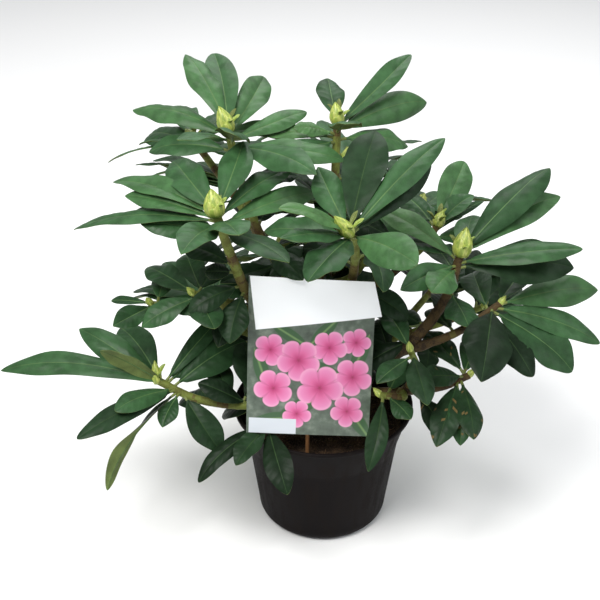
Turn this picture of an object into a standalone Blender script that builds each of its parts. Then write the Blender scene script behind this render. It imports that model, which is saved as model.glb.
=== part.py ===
"""A young rhododendron in a round nursery pot, with a picture label on a stick in front of it.

Lengths in the tables are in millimetres, and every mesh is made in metres. The plant stands on the
underside of its pot: that face's centre is the origin, +Z is up, and the label faces -Y.
"""

import math
import random

import bmesh
import bpy
from mathutils import Matrix, Vector
from mathutils.bvhtree import BVHTree

MM = 0.001
GAP = 0.3  # between touching pieces

# Pot: a turned shell of thin plastic, about 19 cm wide at the rim
POT_HEIGHT = 137.0
POT_FOOT_RADIUS = 60.0  # flat underside
POT_CORNER = (70.0, 13.0)  # where the rounded foot meets the wall: radius, height
POT_KNEE = (81.0, 95.0)  # where the wall starts to flare
POT_RIM_RADIUS = 95.0
POT_WALL = 1.6
POT_LIP = (2.2, 4.0)  # how far the rim's lip stands out, and its height
CORNER_STOPS = (0.35, 0.45)  # one more point in the rounding, outside and inside, as shares of its height
POT_TURNS = 36
DRAIN_HOLES = 6
DRAIN_RADIUS = 5.0
DRAIN_RING = 42.0

# Soil: peat that fills the pot to two centimetres under the rim
SOIL_TOP = 116.0
SOIL_CROWN = 1.5  # how much higher it is at the stem
SOIL_SHOULDER = (34.0, 0.8)  # a radius, and the share of the crown's height there

# Label: a card on a thin stick, leaning back over the soil
CARD_WIDTH = 123.0
CARD_HEIGHT = 162.0
CARD_THICK = 1.0
BANNER_LOW, BANNER_HIGH = (130.0, 125.0), (121.0, 160.0)  # the banner's two corners on the right
BANNER_OVERHANG = 1.0  # past the card's left edge
CARD_FOOT = (-17.5, -75.0, 148.0)  # middle of its lower edge
CARD_LEAN = 15.0
CARD_ROLL = 2.0
STICK_RADIUS = 2.0
STICK_UP = (6.0, 80.0)  # the stretch of the card's back that it lies on
STICK_BEND = (0.6, 10.0)  # how far forward and down of that stretch it turns upright
STICK_DOWN = (-70.0, 86.0)  # Y and Z of its lower end, in the soil

# Trunk: a short stem with a root flare, cut flat where it meets the soil
TRUNK_FOOT = SOIL_TOP + SOIL_CROWN + GAP
TRUNK_PATH = (
    (2, 8, TRUNK_FOOT), (2, 8, TRUNK_FOOT + 4), (1, 7, 130), (0, 6, 150), (-2, 6, 172), (-4, 5, 195),
)
TRUNK_RADII = (13.0, 10.8, 9.4, 8.7, 8.1, 7.4)

# Shoots: each is one smooth limb from its parent to a whorl of leaves. The stretch nearest the
# parent is the bough, and the last stretch is the twig that the leaves are fused to.
# name: parent, how far along it, points on the way, whorl's centre, radius at start and end
TWIG_LENGTH = 46.0
SHORTEST_BOUGH = 30.0
LIMB_STEP = 7.0  # between the points that a limb is planned with
BOUGH_STEP, TWIG_STEP, TREE_STEP = 16.0, 12.0, 8.0  # and those it is drawn and tested with
LIMB_CLEARANCE = 0.33  # between a limb's end face and the limbs it leaves
CLEAR_STEPS = (3.0, 0.1)
TUBE_SIDES = 8
SIDEWAYS = Vector((0.31, 0.17, 0.93))  # no limb runs along it
SHOOTS = {
    "top_right": ("trunk", 1.0, ((-2, 12, 240), (8, 38, 330)), (12, 60, 430), 6.4, 3.8),
    "top_left": (
        "top_right", 0.2, ((-34, 12, 276), (-64, 22, 322), (-84, 34, 380)), (-95, 40, 430), 5.2, 3.8,
    ),
    "left_front": (
        "trunk", 0.8, ((-38, -4, 222), (-73, -18, 272), (-90, -45, 335)), (-101, -70, 393), 6.4, 4.2,
    ),
    "middle_front": (
        "trunk", 0.86, ((14, -12, 222), (27, -20, 300), (26, -60, 352)), (18, -95, 385), 5.4, 3.8,
    ),
    "right_front": (
        "trunk", 0.7, ((35, -12, 192), (76, -38, 224), (117, -22, 270)), (133, -10, 321), 7.2, 4.4,
    ),
    "right_back": (
        "top_right", 0.1, ((30, 22, 250), (62, 26, 270), (103, 40, 302)), (116, 50, 322), 4.2, 3.4,
    ),
    "far_right": ("right_front", 0.42, ((128, -42, 247),), (174, -20, 268), 4.4, 3.6),
    "low_right": ("trunk", 0.45, ((50, -40, 176), (108, -72, 202)), (142, -60, 209), 5.2, 3.6),
    "low_left": (
        "trunk", 0.42, ((-38, -30, 158), (-76, -46, 163), (-128, -40, 166)), (-171, -30, 183), 5.0, 4.0,
    ),
    "left_inner": ("left_front", 0.3, ((-88, -2, 256),), (-131, -20, 280), 4.2, 3.4),
    "left_small": (
        "trunk", 0.72, ((-44, 20, 190), (-100, 40, 205), (-150, 16, 240)), (-175, -10, 263), 4.0, 3.0,
    ),
    "over_rim": ("low_right", 0.58, ((76, -78, 195),), (55, -66, 190), 4.0, 3.4),
    "inner_right": ("low_right", 0.6, ((91, -66, 216),), (82, -66, 243), 3.6, 3.2),
    "front_low": ("trunk", 0.28, ((-34, -36, 144),), (-60, -60, 147), 4.2, 3.4),
    "left_top_back": ("top_left", 0.42, ((-96, 66, 352),), (-134, 95, 395), 4.4, 3.6),
    "back_leader": ("trunk", 0.86, ((-8, 40, 214), (-4, 100, 258)), (0, 164, 302), 6.2, 3.8),
    "back_left": ("back_leader", 0.3, ((-52, 84, 268), (-84, 112, 306)), (-104, 130, 340), 4.6, 3.6),
    "back_right": ("back_leader", 0.42, ((44, 108, 252), (80, 128, 272)), (104, 144, 292), 4.6, 3.6),
    "back_low_left": ("trunk", 0.66, ((-44, 40, 168), (-88, 78, 184)), (-122, 108, 202), 4.8, 3.6),
    "back_low": ("trunk", 0.4, ((-6, 60, 166), (-8, 110, 180)), (-10, 158, 198), 4.8, 3.6),
    "back_low_right": ("trunk", 0.6, ((50, 40, 170), (92, 84, 186)), (122, 116, 204), 4.8, 3.6),
    "far_right_back": ("back_low_right", 0.52, ((130, 62, 196),), (172, 62, 216), 4.0, 3.4),
    "top_back": ("top_right", 0.4, ((20, 84, 318),), (26, 136, 352), 4.4, 3.6),
    "inner_left": ("back_leader", 0.16, ((-34, 52, 250),), (-46, 64, 292), 3.8, 3.4),
    "inner_middle": ("top_right", 0.3, ((30, 14, 282),), (46, 4, 318), 3.8, 3.4),
}

# Leaves of the whorls that face the front, from the bud downwards: azimuth and rise of the line
# from the whorl's centre to the leaf's tip in degrees, its length, and where it has one of its own
# its roll and then its breadth beside that of other leaves
LEAVES = {
    "top_left": (
        (100, 22, 112, 2, 0.9), (118, 21, 108, -4, 0.85), (70, 12, 100, 13, 0.9), (150, 0, 115, -14, 0.8),
        (31, -4, 90, 22, 0.75), (234, 9, 72, -10, 0.9), (279, 16, 62, -14, 1.3), (312, -2, 125, 16, 0.95),
        (343, -8, 118, 20, 0.9), (165, -20, 90),
    ),
    "left_top_back": (
        (105, 3, 90), (60, 4, 96), (160, -9, 64, 12, 0.8), (166, -18, 102, 14, 0.55), (135, -14, 100),
        (20, -14, 95), (80, -18, 96),
    ),
    "left_front": (
        (119, 10, 97, -12, 1.05), (76, 19, 98, 8, 0.95), (143, -2, 130, -14, 0.72), (53, 2, 115, 20, 0.72),
        (157, -3, 100, -14, 0.8), (166, -8, 145, -10, 0.62), (294, 4, 58, 4, 1.4), (38, -6, 118, 14, 0.8),
        (250, -5, 72, -12, 1.15), (316, -9, 94, -6, 1.15), (153, -12, 94, -12, 0.75), (172, -18, 72),
    ),
    "top_right": (
        (97, 17, 72, -2, 1.05), (46, 21, 120, 28, 0.62), (49, 4, 92, 10, 0.45), (32, 0, 113, 40, 0.9),
        (285, 20, 50, -8, 1.35), (205, 2, 46, -20, 0.8), (172, -8, 112, -25, 0.7), (16, -24, 84),
        (222, -14, 84),
    ),
    "middle_front": (
        (109, 20, 86, -10, 0.95), (75, 27, 124, 6, 1.1), (47, 20, 146, 20, 0.66), (51, 12, 134, 34, 0.6),
        (209, 32, 78, -18, 0.8), (219, 14, 78, -16, 0.75), (314, -1, 80, 24, 1.2), (245, -4, 86, -7, 1.1),
        (150, -12, 90),
    ),
    "right_back": (
        (65, 25, 92, 14, 1.05), (126, 10, 68, -16, 1.1), (35, 24, 52, 20, 0.9), (45, 1, 80, 30, 0.3),
        (165, 4, 78), (100, -8, 90), (20, -18, 60),
    ),
    "right_front": (
        (41, 24, 140, 14, 0.95), (32, 14, 132, 30, 0.8), (75, 3, 80), (150, 15, 103, -16, 0.85),
        (350, 7, 115, 22, 0.78), (220, -9, 83, -30, 0.9), (357, -6, 112, 34, 1.25), (242, -11, 72, -24, 1.2),
        (110, -14, 84),
    ),
    "far_right": (
        (14, 2, 108, 34, 0.95), (60, 8, 90), (350, -18, 108, 34, 0.85), (254, -6, 120, -10, 1.35),
        (324, -28, 96, 10, 1.35), (100, -6, 90), (287, -24, 86, 8, 1.2),
    ),
    "low_right": (
        (123, 14, 72), (207, 16, 58, -30, 1.1), (76, 8, 61), (268, -18, 76, -8), (243, -20, 88),
        (259, -26, 76),
    ),
    "inner_right": ((112, 14, 60), (279, -12, 70), (227, -14, 51)),
    "over_rim": ((258, -32, 80, -4, 0.72), (306, -2, 46), (70, 23, 56)),
    "low_left": (
        (122, 12, 90, -14, 1.15), (149, 18, 106, -28, 0.85), (44, 24, 102, 34, 0.6),
        (44, 11, 93, 34, 1.15), (175, 2, 164, -14, 0.62), (188, 38, 68, 78, 0.75), (28, 6, 103, 34, 1.2),
        (239, 5, 66, -10, 1.0), (228, -8, 106, -24, 0.75), (237, -41, 120, 24, 0.7), (280, -26, 53),
        (330, -35, 98, 20, 1.2),
    ),
    "left_inner": (
        (130, -2, 84), (62, 7, 60), (296, -8, 56, 6, 1.3), (200, -26, 60), (100, 4, 80), (20, 0, 76),
    ),
    "left_small": ((348, 8, 60, 30), (149, -13, 54, -30, 0.4), (235, -4, 50), (80, 0, 66)),
    "front_low": ((288, -22, 78), (249, -4, 54), (217, -14, 88, -10, 0.65)),
}

# Leaves of the whorls at the back, by rule: number of leaves, first azimuth and the sector that
# they are dealt into, rise of the top leaf and how much each next one drops, longest leaf
DEALT_LEAVES = {
    "back_leader": (10, 0, 360, 14, 4.0, 118),
    "back_left": (9, 60, 150, 14, 4.0, 112),
    "back_right": (9, -10, 150, 14, 4.0, 112),
    "back_low_left": (9, 70, 110, 6, 4.0, 120),
    "back_low": (10, 0, 360, 16, 5.0, 124),
    "back_low_right": (9, 10, 130, 10, 4.0, 118),
    "far_right_back": (8, -40, 150, 4, 4.0, 116),
    "top_back": (9, 10, 160, 12, 4.0, 108),
    "inner_left": (7, 0, 360, 6, 4.0, 90),
    "inner_middle": (7, 0, 360, 6, 4.0, 90),
}
GOLDEN_ANGLE = 137.5

# Leaf: a thin blade on a short stalk, drawn by its widths at a few stations
STALK = 9.0
STALK_HALF = 1.9
BLADE_STATIONS = (0.0, 0.24, 0.56, 0.85)
WIDTH_BASE, WIDTH_SHARE = 13.0, 0.2  # a leaf's width: a base, and a share of its length
WIDEST, BLUNTNESS = 1.24, 0.7  # powers that set where a blade is widest and how blunt it is
LEAF_THICK_SHARE = 0.012
LEAF_THINNEST = 1.3
EDGE_DROOP = 0.06  # of the half width
ARCHES = (0.045, 0.1)  # how high a leaf arches over the line from root to tip, of its length
LIGHT_TURN = 30.0  # how far a leaf that lies across the light turns its face to it
STRAY_ROLL, STRAY_RISE = 8.0, 4.0
DEALT_LENGTHS = (0.72, 1.0)  # of the whorl's longest leaf
LEAF_STEP = 2.4  # between one leaf's root and the next, down the twig
FIRST_LEAF = 3.0  # below the whorl's centre
CLEARANCE = 0.45  # kept from every other piece while a leaf is placed
# turns tried in order where a leaf would touch something: azimuth, rise
NUDGES = (
    (0, 0), (0, 5), (5, 0), (-5, 0), (0, -5), (6, 6), (-6, 6), (6, -6), (-6, -6), (0, 10), (11, 0),
    (-11, 0), (0, -10), (12, 10), (-12, 10), (12, -10), (-12, -10), (18, 0), (-18, 0), (0, 16), (0, -16),
)

# Bud: an egg that narrows upwards; its foot is sunk in the twig
BUD_SEGMENTS, BUD_RINGS = 6, 5
BUD_TAPER = 0.35
BUD_MIDDLE, BUD_HALF = 0.36, 0.5  # of its height
BUD_UPRIGHT = 0.8  # how strongly it turns up from its twig's own direction
# Flower buds stand on the whorls that show one: height, radius, and how far each leans right and back
BUDS = {
    "top_left": (27, 7.2, -0.45, 0.0), "left_front": (26, 8.4, -0.1, 0.5),
    "top_right": (22, 6.4, -0.3, 0.0), "middle_front": (27, 5.8, -0.9, 0.3),
    "right_back": (18, 5.6, 0.2, 0.0), "right_front": (30, 8.4, 0.0, 0.1),
    "left_top_back": (17, 6.0, -0.5, 0.0), "low_left": (25, 4.6, 0.75, 0.2),
    "back_leader": (25, 8.5, 0.1, 0.0), "back_left": (25, 8.0, 0.1, 0.0),
    "back_right": (26, 8.0, 0.0, 0.0), "top_back": (24, 8.0, 0.2, 0.0),
}
SMALL_BUD = (12, 3.2, 0.0, 0.0)

GREEN = (0.055, 0.16, 0.065, 1)
BARK = (0.16, 0.12, 0.06, 1)
PLASTIC = (0.018, 0.017, 0.018, 1)
PEAT = (0.035, 0.022, 0.015, 1)
CARD = (0.85, 0.85, 0.86, 1)
STICK = (0.3, 0.14, 0.05, 1)


def place(point):
    """A point in metres from millimetres."""
    return Vector(point) * MM


def material(name, colour, roughness):
    finish = bpy.data.materials.new(name)
    finish.use_nodes = True
    shader = finish.node_tree.nodes["Principled BSDF"]
    shader.inputs["Base Color"].default_value = colour
    shader.inputs["Roughness"].default_value = roughness
    finish.diffuse_color = colour
    return finish


def collection(name):
    group = bpy.data.collections.new(name)
    bpy.context.scene.collection.children.link(group)
    return group


def add_object(name, data, finish, group):
    piece = bpy.data.objects.new(name, data)
    group.objects.link(piece)
    if finish:
        data.materials.append(finish)
    return piece


def mesh_from(name, points, faces):
    mesh = bpy.data.meshes.new(name)
    mesh.from_pydata(points, [], faces)
    mesh.update()
    return mesh


# Turned pieces: a profile in the XZ plane and a Screw modifier


def turned(name, profile, steps, finish, group):
    """A solid turned round Z from a closed profile that runs down its outer side."""
    points = [(radius * MM, 0, height * MM) for radius, height in profile]
    last = len(points) - 1
    on_axis = profile[0][0] == 0
    edges = [(i, i + 1) for i in range(last)]
    if not on_axis:
        edges.append((last, 0))
    mesh = bpy.data.meshes.new(name)
    mesh.from_pydata(points, edges, [])
    piece = add_object(name, mesh, finish, group)
    screw = piece.modifiers.new("turn", "SCREW")
    screw.steps = steps
    screw.render_steps = steps
    screw.use_merge_vertices = True
    screw.merge_threshold = 0.00001
    screw.use_smooth_shade = True
    return piece


def wall_radius(height):
    """The pot's outer radius at a height."""
    corner_radius, corner_height = POT_CORNER
    knee_radius, knee_height = POT_KNEE
    if height < corner_height:
        angle = math.acos(1 - height / corner_height)
        return POT_FOOT_RADIUS + (corner_radius - POT_FOOT_RADIUS) * math.sin(angle)
    if height < knee_height:
        share = (height - corner_height) / (knee_height - corner_height)
        return corner_radius + (knee_radius - corner_radius) * share
    share = (height - knee_height) / (POT_HEIGHT - knee_height)
    return knee_radius + (POT_RIM_RADIUS - POT_LIP[0] - knee_radius) * share


def inside_wall(top, gap):
    """Profile points up the pot's inner side to a height, moved inwards by a gap."""
    points = [(POT_FOOT_RADIUS - POT_WALL - gap, POT_WALL + gap)]
    heights = (CORNER_STOPS[1] * POT_CORNER[1], POT_CORNER[1], POT_KNEE[1], top)
    return points + [(wall_radius(z) - POT_WALL - gap, z) for z in heights]


def add_pot(group, cutters):
    under_lip = POT_HEIGHT - POT_LIP[1]
    profile = [(POT_RIM_RADIUS, POT_HEIGHT), (POT_RIM_RADIUS, under_lip)]
    outside = (under_lip, POT_KNEE[1], POT_CORNER[1], CORNER_STOPS[0] * POT_CORNER[1], 0)
    profile += [(wall_radius(z), z) for z in outside]
    profile += [(0, 0), (0, POT_WALL)] + inside_wall(POT_HEIGHT, 0)
    pot = turned("pot", profile, POT_TURNS, material("black plastic", PLASTIC, 0.6), group)
    for i in range(DRAIN_HOLES):
        angle = 2 * math.pi * (i + 0.5) / DRAIN_HOLES
        middle = (DRAIN_RING * math.cos(angle), DRAIN_RING * math.sin(angle), POT_WALL / 2)
        bpy.ops.mesh.primitive_cylinder_add(
            vertices=10, radius=DRAIN_RADIUS * MM, depth=6 * POT_WALL * MM, location=place(middle),
        )
        cutter = bpy.context.object
        cutter.name = f"drain_cutter_{i}"
        cutter.hide_render = True
        cutter.display_type = "WIRE"
        for owner in list(cutter.users_collection):
            owner.objects.unlink(cutter)
        cutters.objects.link(cutter)
        cut = pot.modifiers.new("drain hole", "BOOLEAN")
        cut.operation = "DIFFERENCE"
        cut.object = cutter
    return pot


def card_matrix():
    """The card's frame: X to its right, Y up its face, Z out of its front."""
    lean = Matrix.Rotation(math.radians(90 - CARD_LEAN), 4, "X")
    roll = Matrix.Rotation(math.radians(-CARD_ROLL), 4, "Z")
    return Matrix.Translation(place(CARD_FOOT)) @ lean @ roll


def flat_curve(name, outline, thickness, finish, group):
    """A flat piece cut to an outline of straight edges."""
    curve = bpy.data.curves.new(name, "CURVE")
    curve.dimensions = "2D"
    curve.fill_mode = "BOTH"
    curve.extrude = thickness * MM / 2
    edge = curve.splines.new("POLY")
    edge.points.add(len(outline) - 1)
    for point, (x, y) in zip(edge.points, outline):
        point.co = (x * MM, y * MM, 0, 1)
    edge.use_cyclic_u = True
    return add_object(name, curve, finish, group)


def stick_path():
    """Up the card's back, and bent at its lower edge to stand straight in the soil."""
    behind = -(CARD_THICK / 2 + STICK_RADIUS + GAP)
    low, top = ((card_matrix() @ place((0, up, behind))) / MM for up in STICK_UP)
    deep_y, deep_z = STICK_DOWN
    bend = Vector((low.x, low.y - STICK_BEND[0], low.z - STICK_BEND[1]))
    return [top, low, bend, Vector((low.x, deep_y, SOIL_TOP)), Vector((low.x, deep_y, deep_z))]


def add_label(group):
    half = CARD_WIDTH / 2
    outline = (
        (-half, 0), (half, 0), (half, BANNER_LOW[1] - 1), (BANNER_LOW[0] - half, BANNER_LOW[1]),
        (BANNER_HIGH[0] - half, BANNER_HIGH[1]), (-half - BANNER_OVERHANG, CARD_HEIGHT),
    )
    card = flat_curve("label_card", outline, CARD_THICK, material("card", CARD, 0.35), group)
    card.matrix_world = card_matrix()
    path = stick_path()
    tube("label_stick", path, [STICK_RADIUS] * len(path), 2, material("stick", STICK, 0.6), group)


def add_soil(group, cutters):
    top_down = inside_wall(SOIL_TOP, 2 * GAP)[::-1]
    shoulder = (SOIL_SHOULDER[0], SOIL_TOP + SOIL_SHOULDER[1] * SOIL_CROWN)
    profile = [(0, SOIL_TOP + SOIL_CROWN), shoulder, *top_down, (0, top_down[-1][1])]
    soil = turned("soil", profile, POT_TURNS, material("peat", PEAT, 0.95), group)
    path = stick_path()
    path[-1] -= Vector((0, 0, GAP))
    guide = tube("stick_hole", path, [STICK_RADIUS + GAP] * len(path), 2, None, cutters)
    bpy.context.view_layer.update()
    cutter = add_object("stick_cutter", closed_mesh(guide), None, cutters)
    bpy.data.objects.remove(guide)
    cutter.hide_render = True
    cutter.display_type = "WIRE"
    cut = soil.modifiers.new("stick hole", "BOOLEAN")
    cut.operation = "DIFFERENCE"
    cut.object = cutter


def closed_mesh(piece):
    """A curve's evaluated mesh with its caps welded on."""
    graph = bpy.context.evaluated_depsgraph_get()
    mesh = bpy.data.meshes.new_from_object(piece.evaluated_get(graph))
    work = bmesh.new()
    work.from_mesh(mesh)
    bmesh.ops.remove_doubles(work, verts=work.verts, dist=0.000001)
    work.to_mesh(mesh)
    work.free()
    return mesh


# Limbs: smooth tapering paths, cut into boughs and twigs


def smooth_path(points, step):
    """Points every few millimetres on a Catmull-Rom curve through the given ones."""
    knots = [Vector(p) for p in points]
    knots = [2 * knots[0] - knots[1]] + knots + [2 * knots[-1] - knots[-2]]
    path = []
    for a, b, c, d in zip(knots, knots[1:], knots[2:], knots[3:]):
        square = 2 * a - 5 * b + 4 * c - d
        cube = 3 * b - a - 3 * c + d
        count = max(2, round((c - b).length / step))
        for i in range(count):
            t = i / count
            path.append(b + ((c - a) * t + square * t**2 + cube * t**3) / 2)
    path.append(knots[-2])
    return path


def limb_along(path, radii):
    run = [0.0]
    for a, b in zip(path, path[1:]):
        run.append(run[-1] + (b - a).length)
    return {"path": path, "run": run, "radii": radii, "length": run[-1], "start": 0.0}


def point_at(limb, distance):
    """The point, direction and radius at a distance along a limb."""
    path, run, radii = limb["path"], limb["run"], limb["radii"]
    distance = min(max(distance, 0.0), limb["length"])
    i = 0
    while i < len(path) - 2 and distance > run[i + 1]:
        i += 1
    along = (distance - run[i]) / (run[i + 1] - run[i])
    radius = radii[i] + (radii[i + 1] - radii[i]) * along
    return path[i].lerp(path[i + 1], along), (path[i + 1] - path[i]).normalized(), radius


def stretch(limb, start, end, step):
    """Points and radii of a limb between two distances from its start, with square ends."""
    count = max(3, round((end - start) / step))
    stops = [point_at(limb, start + (end - start) * i / count) for i in range(count + 1)]
    points = [point for point, _, _ in stops]
    joint = limb["twig_start"]
    foot = joint if 0 <= start - joint < 2 * GAP else start
    corner, direction, _ = point_at(limb, foot)
    points[0] = corner + direction * (start - foot)
    points[1] = points[0] + direction * (points[1] - points[0]).length
    if end == joint:
        _, direction, _ = point_at(limb, joint)
        points[-2] = points[-1] - direction * (points[-1] - points[-2]).length
    return points, [radius for _, _, radius in stops]


def ring(centre, direction, radius, sides):
    side = direction.cross(SIDEWAYS).normalized()
    other = direction.cross(side)
    turns = [2 * math.pi * i / sides for i in range(sides)]
    return [centre + radius * (math.cos(a) * side + math.sin(a) * other) for a in turns]


def tube_tree(points, radii, grow, sides=TUBE_SIDES):
    """A search tree of a tube's faces, a little larger than the tube."""
    swell = 1 / math.cos(math.pi / sides)
    corners, faces = [], []
    for i, (point, radius) in enumerate(zip(points, radii)):
        before, after = points[max(i - 1, 0)], points[min(i + 1, len(points) - 1)]
        corners += ring(point, (after - before).normalized(), radius * swell + grow, sides)
    for i in range(len(points) - 1):
        for k in range(sides):
            low, high = i * sides + k, i * sides + (k + 1) % sides
            faces += [(low, high, high + sides), (low, high + sides, low + sides)]
    faces.append(tuple(range(sides)))
    faces.append(tuple(len(corners) - 1 - k for k in range(sides)))
    return BVHTree.FromPolygons(corners, faces)


def distance_to_limb(point, limb):
    """How far a point is outside a limb's surface, from its start to its flat far end."""
    path, radii = limb["path"], limb["radii"]
    best = math.inf
    for i in range(len(path) - 1):
        line = path[i + 1] - path[i]
        first = (limb["start"] - limb["run"][i]) / line.length
        if first >= 1:
            continue
        along = (point - path[i]).dot(line) / line.length_squared
        beyond = (along - 1) * line.length
        along = min(max(along, first, 0.0), 1.0)
        offset = (point - path[i] - along * line).length
        radius = radii[i] + (radii[i + 1] - radii[i]) * along
        if i == len(path) - 2 and beyond > 0:
            sideways = math.sqrt(max(offset**2 - beyond**2, 0.0))
            best = min(best, math.hypot(max(sideways - radius, 0.0), beyond))
        else:
            best = min(best, offset - radius)
    return best


def is_clear(limb, distance, others):
    """Whether a limb's end face, cut at a distance along it, is clear of the limbs before it."""
    centre, direction, radius = point_at(limb, distance)
    face = ring(centre, direction, radius, 12) + ring(centre, direction, radius / 2, 6) + [centre]
    return all(distance_to_limb(p, other) >= LIMB_CLEARANCE for other in others for p in face)


def clear_start(limb, others):
    """The least distance along a limb where its end face is clear, found in two sizes of step."""
    coarse, fine = CLEAR_STEPS
    distance = coarse
    while not is_clear(limb, distance, others):
        distance += coarse
    distance -= coarse
    while not is_clear(limb, distance, others):
        distance += fine
    return distance


def plan_limbs():
    """The trunk and every shoot, with the stretches that are bough and twig."""
    limbs = {"trunk": limb_along([Vector(p) for p in TRUNK_PATH], TRUNK_RADII)}
    for name, (parent_name, share, via, centre, thick, thin) in SHOOTS.items():
        parent = limbs[parent_name]
        root, _, _ = point_at(parent, share * parent["length"])
        limb = limb_along(smooth_path((root, *via, centre), LIMB_STEP), ())
        limb["radii"] = [thick + (thin - thick) * run / limb["length"] for run in limb["run"]]
        limb["start"] = clear_start(limb, list(limbs.values()))
        limb["twig_start"] = limb["length"] - TWIG_LENGTH
        if limb["twig_start"] - limb["start"] < SHORTEST_BOUGH:
            limb["twig_start"] = limb["start"]
        limbs[name] = limb
    return limbs


def tube(name, points, radii, resolution, finish, group):
    """A tapering limb: a curve with a round bevel and closed ends."""
    curve = bpy.data.curves.new(name, "CURVE")
    curve.dimensions = "3D"
    curve.bevel_depth = MM
    curve.bevel_resolution = resolution
    curve.use_fill_caps = True
    line = curve.splines.new("POLY")
    line.points.add(len(points) - 1)
    for knot, point, radius in zip(line.points, points, radii):
        knot.co = (*place(point), 1)
        knot.radius = radius
    return add_object(name, curve, finish, group)


def add_limbs(limbs, group):
    bark = material("bark", BARK, 0.8)
    tube("trunk", limbs["trunk"]["path"], TRUNK_RADII, 3, bark, group)
    for name in SHOOTS:
        limb = limbs[name]
        if limb["twig_start"] > limb["start"]:
            points, radii = stretch(limb, limb["start"], limb["twig_start"], BOUGH_STEP)
            tube(f"bough_{name}", points, radii, 2, bark, group)


# Leaves


def heading(azimuth, rise):
    turn, lift = math.radians(azimuth), math.radians(rise)
    return Vector((math.cos(turn) * math.cos(lift), math.sin(turn) * math.cos(lift), math.sin(lift)))


def leaf_width(length):
    return WIDTH_BASE + WIDTH_SHARE * length


def blade_share(u):
    """The blade's half width at a share of its length, as a share of its widest."""
    return math.sin(math.pi * min(max(u, 0.0), 1.0) ** WIDEST) ** BLUNTNESS


def leaf_sections(leaf, grow):
    """Four corners of the leaf at each station, from its root, and then its tip."""
    root, tip = leaf["root"], leaf["tip"]
    chord = tip - root
    length = chord.length
    along = chord.normalized()
    across = Vector((0, 0, 1)).cross(along).normalized()
    face = along.cross(across)
    roll = math.radians(leaf["roll"])
    side = math.cos(roll) * across + math.sin(roll) * face
    up = math.cos(roll) * face - math.sin(roll) * across
    thick = max(LEAF_THINNEST, LEAF_THICK_SHARE * length) / 2 + grow
    half = leaf["breadth"] * leaf_width(length) / 2
    stalk = STALK / length
    sections = []
    stations = [(0.0, STALK_HALF)]
    for u in BLADE_STATIONS:
        stations.append((stalk + (1 - stalk) * u, max(STALK_HALF * (1 - 0.5 * u), half * blade_share(u))))
    for t, width in stations:
        middle = root + along * (length * t) + up * (4 * leaf["arch"] * length * t * (1 - t))
        edge_middle = middle - EDGE_DROOP * width * up
        edge = side * (width + grow)
        sections.append((edge_middle + edge, middle + up * thick, edge_middle - edge, middle - up * thick))
    return sections, tip + along * grow


def leaf_mesh(leaf, grow=0.0, first=0):
    """Corners and faces of a leaf, closed at both ends."""
    sections, tip = leaf_sections(leaf, grow)
    sections = sections[first:]
    corners = [corner for section in sections for corner in section]
    faces = [(3, 2, 1, 0)]
    for i in range(len(sections) - 1):
        for k in range(4):
            low, high = 4 * i + k, 4 * i + (k + 1) % 4
            faces += [(low, high, high + 4), (low, high + 4, low + 4)]
    last = 4 * (len(sections) - 1)
    corners.append(tip)
    faces += [(last + k, last + (k + 1) % 4, last + 4) for k in range(4)]
    return corners, faces


def turn_to_light(name, centre, azimuth):
    """A leaf's roll, in degrees: front whorls face -Y, and the others face away from the trunk."""
    light = math.radians(270) if name in LEAVES else math.atan2(centre.y, centre.x)
    return LIGHT_TURN * math.sin(math.radians(azimuth) - light)


def wanted_leaves(name):
    """Azimuth, rise and length of each leaf of a whorl, from the bud downwards."""
    if name in LEAVES:
        return LEAVES[name]
    count, first, sector, rise, drop, longest = DEALT_LEAVES[name]
    draw = random.Random(name)
    leaves = []
    for i in range(count):
        azimuth = first + (GOLDEN_ANGLE * i) % sector
        leaf_rise = rise - drop * i + draw.uniform(-STRAY_RISE, STRAY_RISE)
        leaves.append((azimuth, leaf_rise, longest * draw.uniform(*DEALT_LENGTHS)))
    return leaves


def pot_tree():
    heights = (0, POT_CORNER[1], POT_KNEE[1], POT_HEIGHT)
    points = [Vector((0, 0, z)) for z in heights]
    radii = [wall_radius(z) for z in heights[:-1]] + [POT_RIM_RADIUS]
    return tube_tree(points, radii, 0.0, 32)


def card_tree():
    half, thick = CARD_WIDTH / 2, CARD_THICK / 2 + 2 * STICK_RADIUS + GAP
    left, right = -half - BANNER_OVERHANG, BANNER_LOW[0] - half
    corners = []
    for z in (-thick, CARD_THICK / 2):
        for x, y in ((left, 0), (right, 0), (right, CARD_HEIGHT), (left, CARD_HEIGHT)):
            corners.append((card_matrix() @ place((x, y, z))) / MM)
    faces = [(0, 1, 2, 3), (4, 5, 6, 7), (0, 1, 5, 4), (1, 2, 6, 5), (2, 3, 7, 6), (3, 0, 4, 7)]
    return BVHTree.FromPolygons(corners, faces)


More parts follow.
